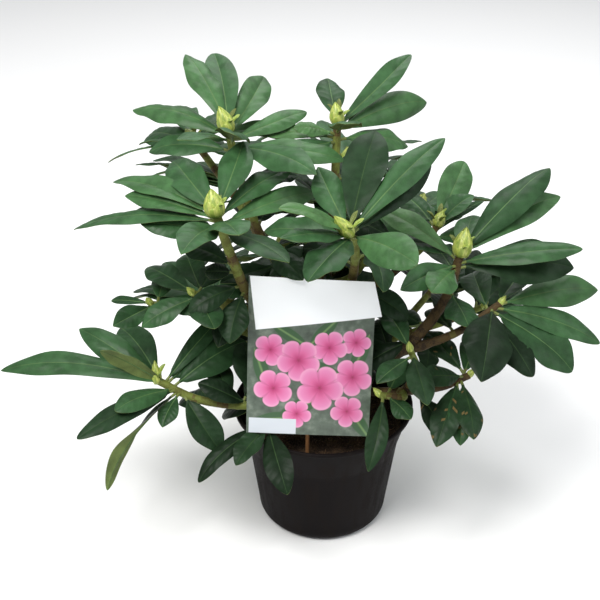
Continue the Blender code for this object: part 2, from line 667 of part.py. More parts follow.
def plan_leaves(limbs):
    """Every whorl's leaves, each turned a little or left out where it would touch a neighbour."""
    fixed = [tube_tree(limbs["trunk"]["path"], TRUNK_RADII, 0.0), pot_tree(), card_tree()]
    twigs = {}
    for name in SHOOTS:
        limb = limbs[name]
        if limb["twig_start"] > limb["start"]:
            fixed.append(tube_tree(*stretch(limb, limb["start"], limb["twig_start"], TREE_STEP), 0.0))
        twigs[name] = tube_tree(*stretch(limb, limb["twig_start"], limb["length"], TREE_STEP), 0.0)
    placed = {name: [] for name in SHOOTS}
    trees = {name: [] for name in SHOOTS}
    for name in SHOOTS:
        limb = limbs[name]
        others = fixed + [tree for other, tree in twigs.items() if other != name]
        others += [tree for other in SHOOTS if other != name for tree in trees[other]]
        blades = []
        for number, (azimuth, rise, length, *own) in enumerate(wanted_leaves(name)):
            draw = random.Random(f"{name} {number}")
            arch = draw.uniform(*ARCHES)
            roll = turn_to_light(name, limb["path"][-1], azimuth) + draw.uniform(-STRAY_ROLL, STRAY_ROLL)
            roll = own[0] if own else roll
            breadth = own[1] if len(own) > 1 else 1.0
            root, _, _ = point_at(limb, limb["length"] - FIRST_LEAF - LEAF_STEP * number)
            for swing, lift in NUDGES:
                tip = limb["path"][-1] + length * heading(azimuth + swing, rise + lift)
                leaf = {"root": root, "tip": tip, "arch": arch, "roll": roll, "breadth": breadth}
                tree = BVHTree.FromPolygons(*leaf_mesh(leaf, CLEARANCE))
                blade = BVHTree.FromPolygons(*leaf_mesh(leaf, 0.0, 2))
                if any(tree.overlap(other) for other in others):
                    continue
                if any(blade.overlap(other) for other in blades):
                    continue
                placed[name].append(leaf)
                trees[name].append(BVHTree.FromPolygons(*leaf_mesh(leaf)))
                blades.append(blade)
                break
    return placed


def bud_mesh(height, radius, centre, direction):
    """A pointed bud whose foot is sunk in the end of its twig."""
    work = bmesh.new()
    bmesh.ops.create_uvsphere(work, u_segments=BUD_SEGMENTS, v_segments=BUD_RINGS, radius=1.0)
    for corner in work.verts:
        z = corner.co.z
        corner.co.x *= radius * (1 - BUD_TAPER * z)
        corner.co.y *= radius * (1 - BUD_TAPER * z)
        corner.co.z = height * (BUD_MIDDLE + BUD_HALF * z)
    turn = Vector((0, 0, 1)).rotation_difference(direction).to_matrix().to_4x4()
    bmesh.ops.transform(work, matrix=Matrix.Translation(centre) @ turn, verts=work.verts)
    bmesh.ops.scale(work, vec=(MM, MM, MM), verts=work.verts)
    mesh = bpy.data.meshes.new("bud")
    work.to_mesh(mesh)
    work.free()
    return mesh


def keep_largest_shell(mesh):
    """Fill the hollows that fusing seals and drop loose scraps: only the outer skin stays."""
    work = bmesh.new()
    work.from_mesh(mesh)
    unseen = set(work.verts)
    shells = []
    while unseen:
        front = [unseen.pop()]
        shell = []
        while front:
            corner = front.pop()
            shell.append(corner)
            for edge in corner.link_edges:
                other = edge.other_vert(corner)
                if other in unseen:
                    unseen.remove(other)
                    front.append(other)
        shells.append(shell)
    outer = max(shells, key=len)
    spare = [corner for shell in shells if shell is not outer for corner in shell]
    bmesh.ops.delete(work, geom=spare, context="VERTS")
    work.to_mesh(mesh)
    work.free()


def add_whorl(name, limb, leaves, finish, group):
    """One mass: a twig with its leaves and its bud fused into one solid."""
    start = limb["twig_start"] + (GAP if limb["twig_start"] > limb["start"] else 0.0)
    points, radii = stretch(limb, start, limb["length"], TWIG_STEP)
    guide = tube(f"twig_{name}", points, radii, 1, None, group)
    bpy.context.view_layer.update()
    twig = add_object(f"leaves_{name}", closed_mesh(guide), finish, group)
    bpy.data.objects.remove(guide)
    parts = collection(f"parts_{name}")
    for number, leaf in enumerate(leaves):
        corners, faces = leaf_mesh(leaf)
        mesh = mesh_from(f"leaf_{number}", [corner * MM for corner in corners], faces)
        add_object(f"leaf_{name}_{number}", mesh, None, parts)
    height, radius, right, back = BUDS.get(name, SMALL_BUD)
    _, direction, _ = point_at(limb, limb["length"])
    upright = (direction + Vector((right, back, BUD_UPRIGHT))).normalized()
    add_object(f"bud_{name}", bud_mesh(height, radius, limb["path"][-1], upright), None, parts)
    join = twig.modifiers.new("join", "BOOLEAN")
    join.operation = "UNION"
    join.operand_type = "COLLECTION"
    join.collection = parts
    join.solver = "EXACT"
    bpy.context.view_layer.update()
    graph = bpy.context.evaluated_depsgraph_get()
    fused = bpy.data.meshes.new_from_object(twig.evaluated_get(graph))
    keep_largest_shell(fused)
    twig.modifiers.clear()
    twig.data = fused
    for piece in list(parts.objects):
        bpy.data.objects.remove(piece)
    bpy.data.collections.remove(parts)


def main():
    for piece in list(bpy.data.objects):
        bpy.data.objects.remove(piece)
    plant = collection("potted rhododendron")
    cutters = collection("cutters")
    add_pot(plant, cutters)
    add_label(plant)
    add_soil(plant, cutters)
    limbs = plan_limbs()
    add_limbs(limbs, plant)
    leaves = plan_leaves(limbs)
    green = material("leaf", GREEN, 0.45)
    for name in SHOOTS:
        add_whorl(name, limbs[name], leaves[name], green, plant)


main()
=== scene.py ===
"""A young potted rhododendron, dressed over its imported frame: pot, peat, label, stems, leaves and buds.

Sizes are in millimetres unless their names say otherwise, and meshes are made in metres in the frame's
own axes: the pot stands at the origin, +Z is up and the label faces -Y.
"""

import math
import random

import bmesh
import bpy
import numpy as np
from mathutils import Matrix, Vector, noise
from mathutils.bvhtree import BVHTree


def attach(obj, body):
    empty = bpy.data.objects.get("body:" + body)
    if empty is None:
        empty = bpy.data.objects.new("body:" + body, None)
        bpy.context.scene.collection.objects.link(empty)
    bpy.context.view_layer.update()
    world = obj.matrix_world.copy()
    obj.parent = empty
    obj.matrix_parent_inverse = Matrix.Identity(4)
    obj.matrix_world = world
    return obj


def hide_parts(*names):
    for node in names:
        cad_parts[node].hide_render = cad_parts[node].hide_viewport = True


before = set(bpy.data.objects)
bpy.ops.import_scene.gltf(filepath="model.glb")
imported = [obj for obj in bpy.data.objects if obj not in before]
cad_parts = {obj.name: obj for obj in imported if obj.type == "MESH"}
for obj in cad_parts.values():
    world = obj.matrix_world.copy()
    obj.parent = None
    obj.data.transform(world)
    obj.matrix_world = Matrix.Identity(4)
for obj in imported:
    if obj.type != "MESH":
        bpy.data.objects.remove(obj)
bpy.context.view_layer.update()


# Pot
# A round nursery pot of thin black plastic, moulded in one piece and 19 cm wide at its rim. It is
# matt with dust that has run down the wall, and its flat underside has six drain holes.

MM = 0.001
POT_HEIGHT = 137.0
POT_FOOT_RADIUS = 60.0  # flat underside
POT_CORNER = (70.0, 13.0)  # where the rounded foot meets the wall: radius, height
POT_KNEE = (81.0, 95.0)  # where the wall starts to flare
POT_RIM_RADIUS = 95.0
POT_WALL = 1.6
LIP_OUT, LIP_HEIGHT = 2.2, 4.0  # how far the rim's lip stands out, and how tall it is
LIP_ROUNDING, LIP_EDGE = 1.5, 0.8  # radii of its top and of its lower edge
WALL_STOPS = (120, 105, 70, 45, 25)  # heights where the wall has a ring of corners
KNEE_STOPS = (6, 3, 0, -3, -6)  # and heights over and under the knee
CORNER_STOPS = 8  # rings round the foot
BASE_RING = 30.0
POT_TURNS = 128
POT_WAVE = 0.35  # how far the thin wall strays from round
DRAIN_HOLES, DRAIN_RADIUS, DRAIN_RING = 6, 5.0, 42.0
DRAIN_SIDES, DRAIN_DEPTH = 20, 8.0
DRAIN_TURN = 0.1  # keeps a hole's corners off the pot's own edges
BLACK_PLASTIC = (0.0050, 0.0037, 0.0039)
POT_DUST = (0.045, 0.036, 0.030)


class Signal:
    """The output of a node, in a form that sums and products can be written with."""

    def __init__(self, wiring, socket):
        self.wiring = wiring
        self.socket = socket

    def beside(self, name):
        """Another output of the same node."""
        return Signal(self.wiring, self.socket.node.outputs[name])

    def __add__(self, other):
        return self.wiring.math("ADD", self, other)

    def __sub__(self, other):
        return self.wiring.math("SUBTRACT", self, other)

    def __rsub__(self, other):
        return self.wiring.math("SUBTRACT", other, self)

    def __mul__(self, other):
        return self.wiring.math("MULTIPLY", self, other)

    def __truediv__(self, other):
        return self.wiring.math("DIVIDE", self, other)

    def __pow__(self, other):
        return self.wiring.math("POWER", self, other)

    __radd__ = __add__
    __rmul__ = __mul__


class Wiring:
    """Adds nodes to a tree, each from its type, its settings and what its sockets hold."""

    def __init__(self, tree):
        self.tree = tree

    def node(self, kind, settings=None, sockets=(), output=0):
        made = self.tree.nodes.new(kind)
        for name, value in (settings or {}).items():
            if name == "stops":
                ramp = made.color_ramp.elements
                while len(ramp) < len(value):
                    ramp.new(1.0)
                for stop, (position, colour) in zip(ramp, value):
                    stop.position = position
                    stop.color = (*colour, 1)
            else:
                setattr(made, name, value)
        pairs = sockets.items() if isinstance(sockets, dict) else enumerate(sockets)
        for key, value in pairs:
            for one in value if isinstance(value, list) else [value]:
                if isinstance(one, Signal):
                    self.tree.links.new(one.socket, made.inputs[key])
                else:
                    made.inputs[key].default_value = one
        return Signal(self, made.outputs[output]) if made.outputs else None

    def math(self, operation, *values):
        return self.node("ShaderNodeMath", {"operation": operation}, values)

    def rise(self, value, low, high):
        """0 below low and 1 above high, with a smooth step between them."""
        settings = {"interpolation_type": "SMOOTHSTEP"}
        return self.node("ShaderNodeMapRange", settings, (value, low, high, 0.0, 1.0))

    def mix(self, share, first, second):
        """One colour turning into another."""
        first, second = (c if isinstance(c, Signal) else (*c, 1) for c in (first, second))
        return self.node("ShaderNodeMix", {"data_type": "RGBA"}, {0: share, 6: first, 7: second}, 2)

    def place(self, stretch=(1, 1, 1)):
        """Object coordinates in millimetres, squeezed along each axis by these amounts."""
        at = self.node("ShaderNodeTexCoord", output="Object")
        scale = tuple(s / MM for s in stretch)
        return self.node("ShaderNodeVectorMath", {"operation": "MULTIPLY"}, (at, scale))

    def mottle(self, size, detail=3.0, place=None):
        """Soft noise from 0 to 1 with lumps about this many millimetres wide."""
        sockets = {"Vector": place or self.place(), "Scale": 1 / size, "Detail": detail}
        return self.node("ShaderNodeTexNoise", None, sockets)


def new_finish(name, colour, roughness, **constants):
    """A material with these constants, the wiring for its patterns, and a function that feeds a socket."""
    made = bpy.data.materials.new(name)
    made.use_nodes = True
    made.diffuse_color = (*colour, 1)
    shader = made.node_tree.nodes["Principled BSDF"]
    shader.inputs["Base Color"].default_value = (*colour, 1)
    shader.inputs["Roughness"].default_value = roughness
    for socket, value in constants.items():
        shader.inputs[socket.replace("_", " ")].default_value = value
    wiring = Wiring(made.node_tree)

    def feed(socket, signal):
        made.node_tree.links.new(signal.socket, shader.inputs[socket])

    def bump(height, depth, strength=1.0):
        """Relief of this depth in millimetres."""
        sockets = {"Strength": strength, "Distance": depth * MM, "Height": height}
        feed("Normal", wiring.node("ShaderNodeBump", None, sockets))

    return made, wiring, feed, bump


def add_piece(name, mesh, finishes=()):
    """An object in the scene for a mesh, with a slot for each finish."""
    piece = bpy.data.objects.new(name, mesh)
    bpy.context.scene.collection.objects.link(piece)
    for finish in finishes:
        mesh.materials.append(finish)
    return piece


def applied(piece):
    """The mesh that a piece's modifiers make. The piece itself is removed."""
    graph = bpy.context.evaluated_depsgraph_get()
    mesh = bpy.data.meshes.new_from_object(piece.evaluated_get(graph))
    bpy.data.objects.remove(piece)
    return mesh


def mesh_of(work, name):
    """The mesh that a bmesh has become. The bmesh itself is freed."""
    mesh = bpy.data.meshes.new(name)
    work.to_mesh(mesh)
    work.free()
    return mesh


def turned(name, profile, turns):
    """A mesh turned round Z from a closed profile that runs down its outer side."""
    points = [(radius * MM, 0, height * MM) for radius, height in profile]
    edges = [(i, i + 1) for i in range(len(points) - 1)]
    if profile[0][0] > 0:
        edges.append((len(points) - 1, 0))
    mesh = bpy.data.meshes.new(name)
    mesh.from_pydata(points, edges, [])
    piece = add_piece(name, mesh)
    screw = piece.modifiers.new("turn", "SCREW")
    screw.steps = turns
    screw.render_steps = turns
    screw.use_merge_vertices = True
    screw.merge_threshold = 0.00001
    screw.use_smooth_shade = True
    return applied(piece)


def quarter(centre, radius, start, count=4):
    """Points on a quarter circle that turns clockwise from a start angle."""
    angles = [math.radians(start - 90 * i / count) for i in range(count + 1)]
    return [(centre[0] + radius * math.cos(a), centre[1] + radius * math.sin(a)) for a in angles]


def wall_radius(height):
    """The pot's outer radius at a height."""
    corner_radius, corner_height = POT_CORNER
    knee_radius, knee_height = POT_KNEE
    if height < corner_height:
        angle = math.acos(1 - height / corner_height)
        return POT_FOOT_RADIUS + (corner_radius - POT_FOOT_RADIUS) * math.sin(angle)
    if height < knee_height:
        share = (height - corner_height) / (knee_height - corner_height)
        return corner_radius + (knee_radius - corner_radius) * share
    share = (height - knee_height) / (POT_HEIGHT - knee_height)
    return knee_radius + (POT_RIM_RADIUS - LIP_OUT - knee_radius) * share


def dusty_plastic():
    """Black plastic under a thin grey-brown dust that thickens in runs."""
    finish, wiring, feed, bump = new_finish("dusty plastic", BLACK_PLASTIC, 0.6, Specular_IOR_Level=0.06)
    runs = wiring.mottle(9, 5, wiring.place((1, 1, 0.18)))
    specks = wiring.mottle(2.2, 4)
    dust = wiring.rise(runs * 0.65 + specks * 0.35, 0.40, 0.72)
    feed("Base Color", wiring.mix(dust * 0.16, BLACK_PLASTIC, POT_DUST))
    feed("Roughness", dust * 0.3 + 0.48)
    bump(specks + wiring.mottle(0.7) * 0.5, 0.12, 0.5)
    return finish


lip_middle, under_lip = POT_HEIGHT - LIP_ROUNDING, POT_HEIGHT - LIP_HEIGHT
pot_profile = quarter((POT_RIM_RADIUS - LIP_ROUNDING, lip_middle), LIP_ROUNDING, 90)
pot_profile += quarter((POT_RIM_RADIUS - LIP_EDGE, under_lip + LIP_EDGE), LIP_EDGE, 0, 3)
stops = sorted([under_lip, *WALL_STOPS, *(POT_KNEE[1] + off for off in KNEE_STOPS)], reverse=True)
stops += [POT_CORNER[1] * (1 - i / CORNER_STOPS) ** 1.5 for i in range(CORNER_STOPS)]
pot_profile += [(wall_radius(z), z) for z in stops]
pot_profile += [(POT_FOOT_RADIUS, 0), (BASE_RING, 0), (0, 0), (0, POT_WALL), (BASE_RING, POT_WALL)]
pot_profile += [(wall_radius(z) - POT_WALL, z) for z in stops[::-1] if z > 2 * POT_WALL]
inner_lip = wall_radius(POT_HEIGHT) - POT_WALL + LIP_ROUNDING
pot_profile += quarter((inner_lip, lip_middle), LIP_ROUNDING, 180)
pot = add_piece("nursery_pot", turned("pot", pot_profile, POT_TURNS), [dusty_plastic()])
for corner in pot.data.vertices:
    angle = math.atan2(corner.co.y, corner.co.x)
    lift = corner.co.z / (POT_HEIGHT * MM)
    wave = POT_WAVE * MM * lift**2 * (math.sin(2 * angle + 0.7) + 0.5 * math.sin(5 * angle + 2 * lift))
    corner.co.x += wave * math.cos(angle)
    corner.co.y += wave * math.sin(angle)
hole_cutter = bmesh.new()
for i in range(DRAIN_HOLES):
    angle = 2 * math.pi * (i + 0.5) / DRAIN_HOLES
    middle = (DRAIN_RING * MM * math.cos(angle), DRAIN_RING * MM * math.sin(angle), 0)
    turn = Matrix.Rotation(angle + DRAIN_TURN, 4, "Z")
    bmesh.ops.create_cone(
        hole_cutter, cap_ends=True, segments=DRAIN_SIDES, radius1=DRAIN_RADIUS * MM,
        radius2=DRAIN_RADIUS * MM, depth=DRAIN_DEPTH * MM, matrix=Matrix.Translation(middle) @ turn,
    )
cutter = add_piece("drain_cutter", mesh_of(hole_cutter, "drain holes"))
cut = pot.modifiers.new("drain holes", "BOOLEAN")
cut.operation = "DIFFERENCE"
cut.object = cutter
pot = add_piece("nursery_pot", applied(pot))
bpy.data.objects.remove(cutter)
pot.data.set_sharp_from_angle(angle=math.radians(50))
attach(pot, "root")
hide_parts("pot")


# Peat
# Dark moist peat that fills the pot to two centimetres under its rim, pressed down by watering. Its
# top is lumpy, with loose crumbs and a few brown fibres on it.

GAP = 0.3  # between touching pieces
SOIL_TOP = 116.0
SOIL_CROWN = 1.5  # how much higher it is at the stem
SOIL_RINGS, SOIL_TURNS = 44, 140
SOIL_STOPS = (POT_KNEE[1], POT_CORNER[1], 6.0)  # heights where its side has a ring
LUMP_HEIGHT, LUMP_WIDTH, LUMP_FADE = 2.6, 22.0, 6.0  # lumps fade towards the wall
CRUMBS_PER_AREA, FIBRES_PER_AREA = 150000.0, 14000.0  # on a square metre
CRUMB_MARGIN = 3.0  # kept free at the wall
CRUMB_SIZE = (0.5, 2.1)
FIBRE_LENGTH = (1.6, 5.0)
PEAT_DARK, PEAT_LIGHT = (0.016, 0.0095, 0.006), (0.075, 0.045, 0.026)
FIBRE_BROWN = (0.17, 0.10, 0.055)


def peat_finish(name, dark, light):
    """Crumbly brown-black, paler where it has dried."""
    finish, wiring, feed, bump = new_finish(name, dark, 0.92, Specular_IOR_Level=0.2)
    fine = wiring.mottle(1.4, 5)
    dry = wiring.rise(wiring.mottle(17) * 0.6 + fine * 0.4, 0.38, 0.68)
    feed("Base Color", wiring.mix(dry, dark, light))
    feed("Roughness", dry * 0.18 + 0.78)
    bump(fine, 0.9)
    return finish


def shape_tree(name, sizes):
    """A tree of geometry nodes with these named sizes as inputs, and its wiring and input node."""
    tree = bpy.data.node_groups.new(name, "GeometryNodeTree")
    tree.interface.new_socket("Mesh", in_out="INPUT", socket_type="NodeSocketGeometry")
    for label in sizes:
        kind = "NodeSocketInt" if isinstance(sizes[label], int) else "NodeSocketFloat"
        tree.interface.new_socket(label, in_out="INPUT", socket_type=kind)
    tree.interface.new_socket("Mesh", in_out="OUTPUT", socket_type="NodeSocketGeometry")
    wiring = Wiring(tree)
    return tree, wiring, wiring.node("NodeGroupInput", output="Mesh")


def grown(tree, start, sizes):
    """The mesh that a tree of nodes makes from a starting mesh with these sizes."""
    piece = add_piece(tree.name, start)
    steps = piece.modifiers.new(tree.name, "NODES")
    steps.node_group = tree
    for socket in tree.interface.items_tree:
        if socket.name in sizes:
            steps[socket.identifier] = sizes[socket.name]
    return applied(piece)


def scatter_tree(name, finish, sizes, small_thing):
    """Strews a small thing over the upward faces of a mesh, turned and scaled at random."""
    tree, wiring, given = shape_tree(name, sizes)
    upward = wiring.node("GeometryNodeInputNormal")
    height = wiring.node("ShaderNodeSeparateXYZ", None, (upward,), "Z")
    at = wiring.node("GeometryNodeInputPosition")
    from_axis = wiring.node("ShaderNodeVectorMath", {"operation": "MULTIPLY"}, (at, (1, 1, 0)))
    from_axis = wiring.node("ShaderNodeVectorMath", {"operation": "LENGTH"}, (from_axis,), "Value")
    inside = wiring.math("LESS_THAN", from_axis, given.beside("Reach"))
    chosen = wiring.math("GREATER_THAN", height, 0.5) * inside
    sockets = {"Mesh": given, "Selection": chosen, "Density": given.beside("Density"), "Seed": 7}
    points = wiring.node("GeometryNodeDistributePointsOnFaces", None, sockets, "Points")
    turns = {"Min": (-0.5, -0.5, 0.0), "Max": (0.5, 0.5, 2 * math.pi), "Seed": 3}
    turn = wiring.node("FunctionNodeRandomValue", {"data_type": "FLOAT_VECTOR"}, turns)
    limits = {2: given.beside("Smallest"), 3: given.beside("Largest"), "Seed": 5}
    size = wiring.node("FunctionNodeRandomValue", {"data_type": "FLOAT"}, limits, 1)
    stretch = {"Min": (0.7, 0.7, 0.5), "Max": (1.3, 1.3, 0.9), "Seed": 9}
    stretch = wiring.node("FunctionNodeRandomValue", {"data_type": "FLOAT_VECTOR"}, stretch)
    scale = {0: stretch, "Scale": size}
    scale = wiring.node("ShaderNodeVectorMath", {"operation": "SCALE"}, scale)
    sockets = {"Points": points, "Instance": small_thing(wiring), "Rotation": turn, "Scale": scale}
    strewn = wiring.node("GeometryNodeInstanceOnPoints", None, sockets)
    real = wiring.node("GeometryNodeRealizeInstances", None, (strewn,))
    painted = wiring.node("GeometryNodeSetMaterial", None, {"Geometry": real, "Material": finish})
    wiring.node("NodeGroupOutput", None, (painted,))
    return tree


def crumb(wiring):
    """A lump of twenty faces."""
    return wiring.node("GeometryNodeMeshIcoSphere", None, {"Radius": 1.0, "Subdivisions": 1}, "Mesh")


def fibre(wiring):
    """A thin bent hair."""
    ends = {"Start": (-1, 0, 0), "Middle": (0.1, 0.7, 0.5), "End": (1, 0.1, 0), "Resolution": 4}
    line = wiring.node("GeometryNodeCurveQuadraticBezier", None, ends)
    section = wiring.node("GeometryNodeCurvePrimitiveCircle", None, {"Resolution": 3, "Radius": 0.07})
    sockets = {"Curve": line, "Profile Curve": section, "Fill Caps": True}
    return wiring.node("GeometryNodeCurveToMesh", None, sockets)


soil_rim = wall_radius(SOIL_TOP) - POT_WALL - 2 * GAP
rings = [soil_rim * (i / SOIL_RINGS) for i in range(SOIL_RINGS + 1)]
soil_profile = [(r, SOIL_TOP + SOIL_CROWN * (1 - r / soil_rim) ** 1.5) for r in rings]
soil_profile += [(wall_radius(z) - POT_WALL - 2 * GAP, z) for z in SOIL_STOPS]
soil_profile += [(POT_FOOT_RADIUS - POT_WALL - 2 * GAP, POT_WALL + 2 * GAP), (0, POT_WALL + 2 * GAP)]
peat_mesh = turned("peat", soil_profile, SOIL_TURNS)
for corner in peat_mesh.vertices:
    reach = math.hypot(corner.co.x, corner.co.y) / MM
    if corner.co.z > (SOIL_TOP - 0.01) * MM and reach < soil_rim - 0.5:
        lumps = noise.fractal(corner.co / (LUMP_WIDTH * MM), 0.8, 2.2, 5)
        corner.co.z += LUMP_HEIGHT * MM * lumps * min(1.0, (soil_rim - reach) / LUMP_FADE)
peat = add_piece("peat", peat_mesh, [peat_finish("peat", PEAT_DARK, PEAT_LIGHT)])
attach(peat, "root")
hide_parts("soil")
strewn_things = (
    ("peat_crumbs", peat_finish("crumbs", PEAT_DARK, PEAT_LIGHT), CRUMBS_PER_AREA, CRUMB_SIZE, crumb),
    ("peat_fibres", peat_finish("fibres", FIBRE_BROWN, PEAT_LIGHT), FIBRES_PER_AREA, FIBRE_LENGTH, fibre),
)
for name, finish, density, (smallest, largest), small_thing in strewn_things:
    sizes = {"Density": density, "Reach": (soil_rim - CRUMB_MARGIN) * MM}
    sizes |= {"Smallest": smallest * MM, "Largest": largest * MM}
    tree = scatter_tree(name, finish, sizes, small_thing)
    strewn = add_piece(name, grown(tree, peat.data.copy(), sizes))
    strewn.data.shade_smooth()
    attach(strewn, "root")


# Label
# A die-cut card printed with pink blossoms and coated with gloss, 123 by 162 mm. A thin brown stick
# is fixed to its back and pushed into the peat, so that the card leans back on it.

CARD_WIDTH = 123.0
CARD_HEIGHT = 162.0
CARD_THICK = 1.0
BANNER_LOW, BANNER_HIGH = (130.0, 125.0), (121.0, 160.0)  # the banner's two corners on the right
BANNER_LEFT = ((7.0, 108.0), (0.0, 162.0))  # and its two on the left
BANNER_OVERHANG = 1.0  # past the card's left edge
TAG = (2.5, 49.5, 0.5, 16.0)  # left, right, foot, top
PRINT_EDGE = 0.3  # how soft a printed edge is
CARD_FOOT = (-17.5, -75.0, 148.0)  # middle of its lower edge
CARD_LEAN = 15.0
CARD_ROLL = 2.0
CARD_CURL = 1.6  # how far its sides bend back
CARD_CELL = 9.0
STICK_RADIUS = 2.0
STICK_UP = (6.0, 80.0)  # the stretch of the card's back that it lies on
STICK_BEND = (0.6, 10.0)  # how far forward and down of that stretch it turns upright
STICK_DOWN = (-70.0, 86.0)  # Y and Z of its lower end, in the peat
# Printed blossoms: middle, radius and turn
BLOSSOMS = (
    (22, 88, 17, 0.2), (106, 98, 15, 0.1), (80, 92, 18, 0.5), (50, 78, 22, 0.9), (104, 62, 20, 0.8),
    (26, 48, 20, 1.2), (72, 50, 24, 0.4), (100, 26, 17, 1.0), (50, 22, 15, 0.6),
)
# Printed leaves behind them: middle, length, width and turn
PRINTED_LEAVES = (
    (14, 66, 26, 8, 1.9), (54, 30, 30, 9, 0.5), (110, 84, 26, 8, 1.2), (40, 104, 24, 7, 2.6),
    (112, 14, 24, 8, 2.2), (70, 70, 26, 8, 2.9), (30, 16, 26, 8, 0.1), (74, 108, 22, 7, 0.8),
)
PRINT_GROUND = (
    (0.3, (0.035, 0.048, 0.035)), (0.52, (0.088, 0.118, 0.088)), (0.74, (0.22, 0.26, 0.21)),
)
PRINT_LEAF, PRINT_LEAF_PALE = (0.03, 0.085, 0.03), (0.13, 0.23, 0.08)
PETAL_STOPS = (
    (0.0, (0.26, 0.015, 0.07)), (0.14, (0.44, 0.04, 0.16)), (0.42, (0.60, 0.115, 0.29)),
    (0.82, (0.67, 0.215, 0.42)), (1.0, (0.74, 0.34, 0.51)),
)
PETAL_CREASE = (0.40, 0.045, 0.16)
# The tag's paper is painted greyer than the banner's: painted shade on the same white card.
PAPER, SHADED_TAG_PAPER, HANDLED_PAPER = (0.94, 0.965, 0.99), (0.56, 0.60, 0.65), (0.60, 0.58, 0.53)
STICK_BROWN, GRAIN_DARK, GRAIN_LIGHT = (0.22, 0.10, 0.035), (0.12, 0.05, 0.018), (0.30, 0.15, 0.06)
STICK_SIDES, STICK_STEP = 16, 5.0


def card_matrix():
    """The card's frame: X to its right, Y up its face, Z out of its front."""
    lean = Matrix.Rotation(math.radians(90 - CARD_LEAN), 4, "X")
    roll = Matrix.Rotation(math.radians(-CARD_ROLL), 4, "Z")
    return Matrix.Translation(Vector(CARD_FOOT) * MM) @ lean @ roll


def printed_card():
    """Blossoms on a soft grey-green ground, under a plain banner and a plain tag painted greyer as shade."""
    finish, wiring, feed, bump = new_finish(
        "printed card", PAPER, 0.34, Coat_Weight=0.35, Coat_Roughness=0.12,
    )
    at = wiring.node("ShaderNodeUVMap", {"uv_map": "card"})
    right = wiring.node("ShaderNodeSeparateXYZ", None, (at,), "X")
    x = right * CARD_WIDTH
    y = right.beside("Y") * CARD_HEIGHT
    flat = wiring.node("ShaderNodeCombineXYZ", None, (x, y, 0.0))
    ground = wiring.mottle(19, 2, flat) * 0.7 + wiring.mottle(5, 2, flat) * 0.3
    colour = wiring.node("ShaderNodeValToRGB", {"stops": PRINT_GROUND}, (ground,))
    for middle_x, middle_y, length, width, turn in PRINTED_LEAVES:
        dx, dy = x - middle_x, y - middle_y
        along = (dx * math.cos(turn) + dy * math.sin(turn)) / length
        across = (dy * math.cos(turn) - dx * math.sin(turn)) / width
        edge = along * along + wiring.math("ABSOLUTE", across)
        rib = wiring.rise(wiring.math("ABSOLUTE", across), 0.0, 0.25)
        green = wiring.mix(rib, PRINT_LEAF_PALE, PRINT_LEAF)
        colour = wiring.mix(1 - wiring.rise(edge, 0.8, 1.0), colour, green)
    for middle_x, middle_y, radius, turn in BLOSSOMS:
        dx, dy = x - middle_x, y - middle_y
        out = wiring.math("SQRT", dx * dx + dy * dy) / radius
        angle = wiring.math("ARCTAN2", dy, dx)
        lobe = wiring.math("ABSOLUTE", wiring.math("COSINE", angle * 2.5 + turn))
        edge = lobe**0.45 * 0.36 + 0.64
        petal = wiring.node("ShaderNodeValToRGB", {"stops": PETAL_STOPS}, (out / edge,))
        crease = (1 - wiring.rise(lobe, 0.05, 0.4)) * 0.45
        petal = wiring.mix(crease, petal, PETAL_CREASE)
        colour = wiring.mix(1 - wiring.rise(out - edge, -0.05, 0.02), colour, petal)
    (low_x, low_y), (high_x, high_y) = BANNER_LEFT
    edge = PRINT_EDGE
    slope = (BANNER_LOW[1] - low_y) / (BANNER_LOW[0] - low_x)
    over = wiring.rise(y - (x - low_x) * slope, low_y - edge, low_y + edge)
    slant = (low_x - high_x) / (high_y - low_y)
    beside = wiring.rise(x + (y - low_y) * slant, low_x - edge, low_x + edge)
    colour = wiring.mix(over * beside, colour, PAPER)
    left, right_edge, foot, top = TAG
    tag = wiring.rise(x, left - edge, left) * (1 - wiring.rise(x, right_edge, right_edge + edge))
    tag = tag * wiring.rise(y, foot - edge, foot) * (1 - wiring.rise(y, top, top + edge))
    # painted shade: the bare tag is painted greyer than the rest of the paper
    feed("Base Color", wiring.mix(tag, colour, SHADED_TAG_PAPER))
    bump(wiring.mottle(30, 1, flat), 0.25, 0.4)
    return finish


def plain_card():
    """Uncoated white card, a little grey with handling."""
    finish, wiring, feed, bump = new_finish("plain card", PAPER, 0.6)
    feed("Base Color", wiring.mix(wiring.mottle(6, 4) * 0.3, PAPER, HANDLED_PAPER))
    bump(wiring.mottle(0.4), 0.03, 0.4)
    return finish


def smooth_path(points, step):
    """Points every few millimetres on a smooth curve through the given ones."""
    knots = [Vector(p) for p in points]
    knots = [2 * knots[0] - knots[1]] + knots + [2 * knots[-1] - knots[-2]]
    path = []
    for a, b, c, d in zip(knots, knots[1:], knots[2:], knots[3:]):
        square = 2 * a - 5 * b + 4 * c - d
        cube = 3 * b - a - 3 * c + d
        count = max(2, round((c - b).length / step))
        for i in range(count):
            t = i / count
            path.append(b + ((c - a) * t + square * t**2 + cube * t**3) / 2)
    path.append(knots[-2])
    return path


def rings_along(points, radii, sides, relief=None):
    """Rings of corners round a path that don't twist, with a relief added to each radius."""
    direction = (points[1] - points[0]).normalized()
    side = direction.orthogonal().normalized()
    corners = []
    for i, point in enumerate(points):
        before, after = points[max(i - 1, 0)], points[min(i + 1, len(points) - 1)]
        turned_to = (after - before).normalized()
        side = direction.rotation_difference(turned_to) @ side
        direction = turned_to
        other = direction.cross(side)
        for k in range(sides):
            angle = 2 * math.pi * k / sides
            out = math.cos(angle) * side + math.sin(angle) * other
            radius = radii[i] + (relief(i, angle) if relief else 0.0)
            corners.append(point + out * radius)
    return corners


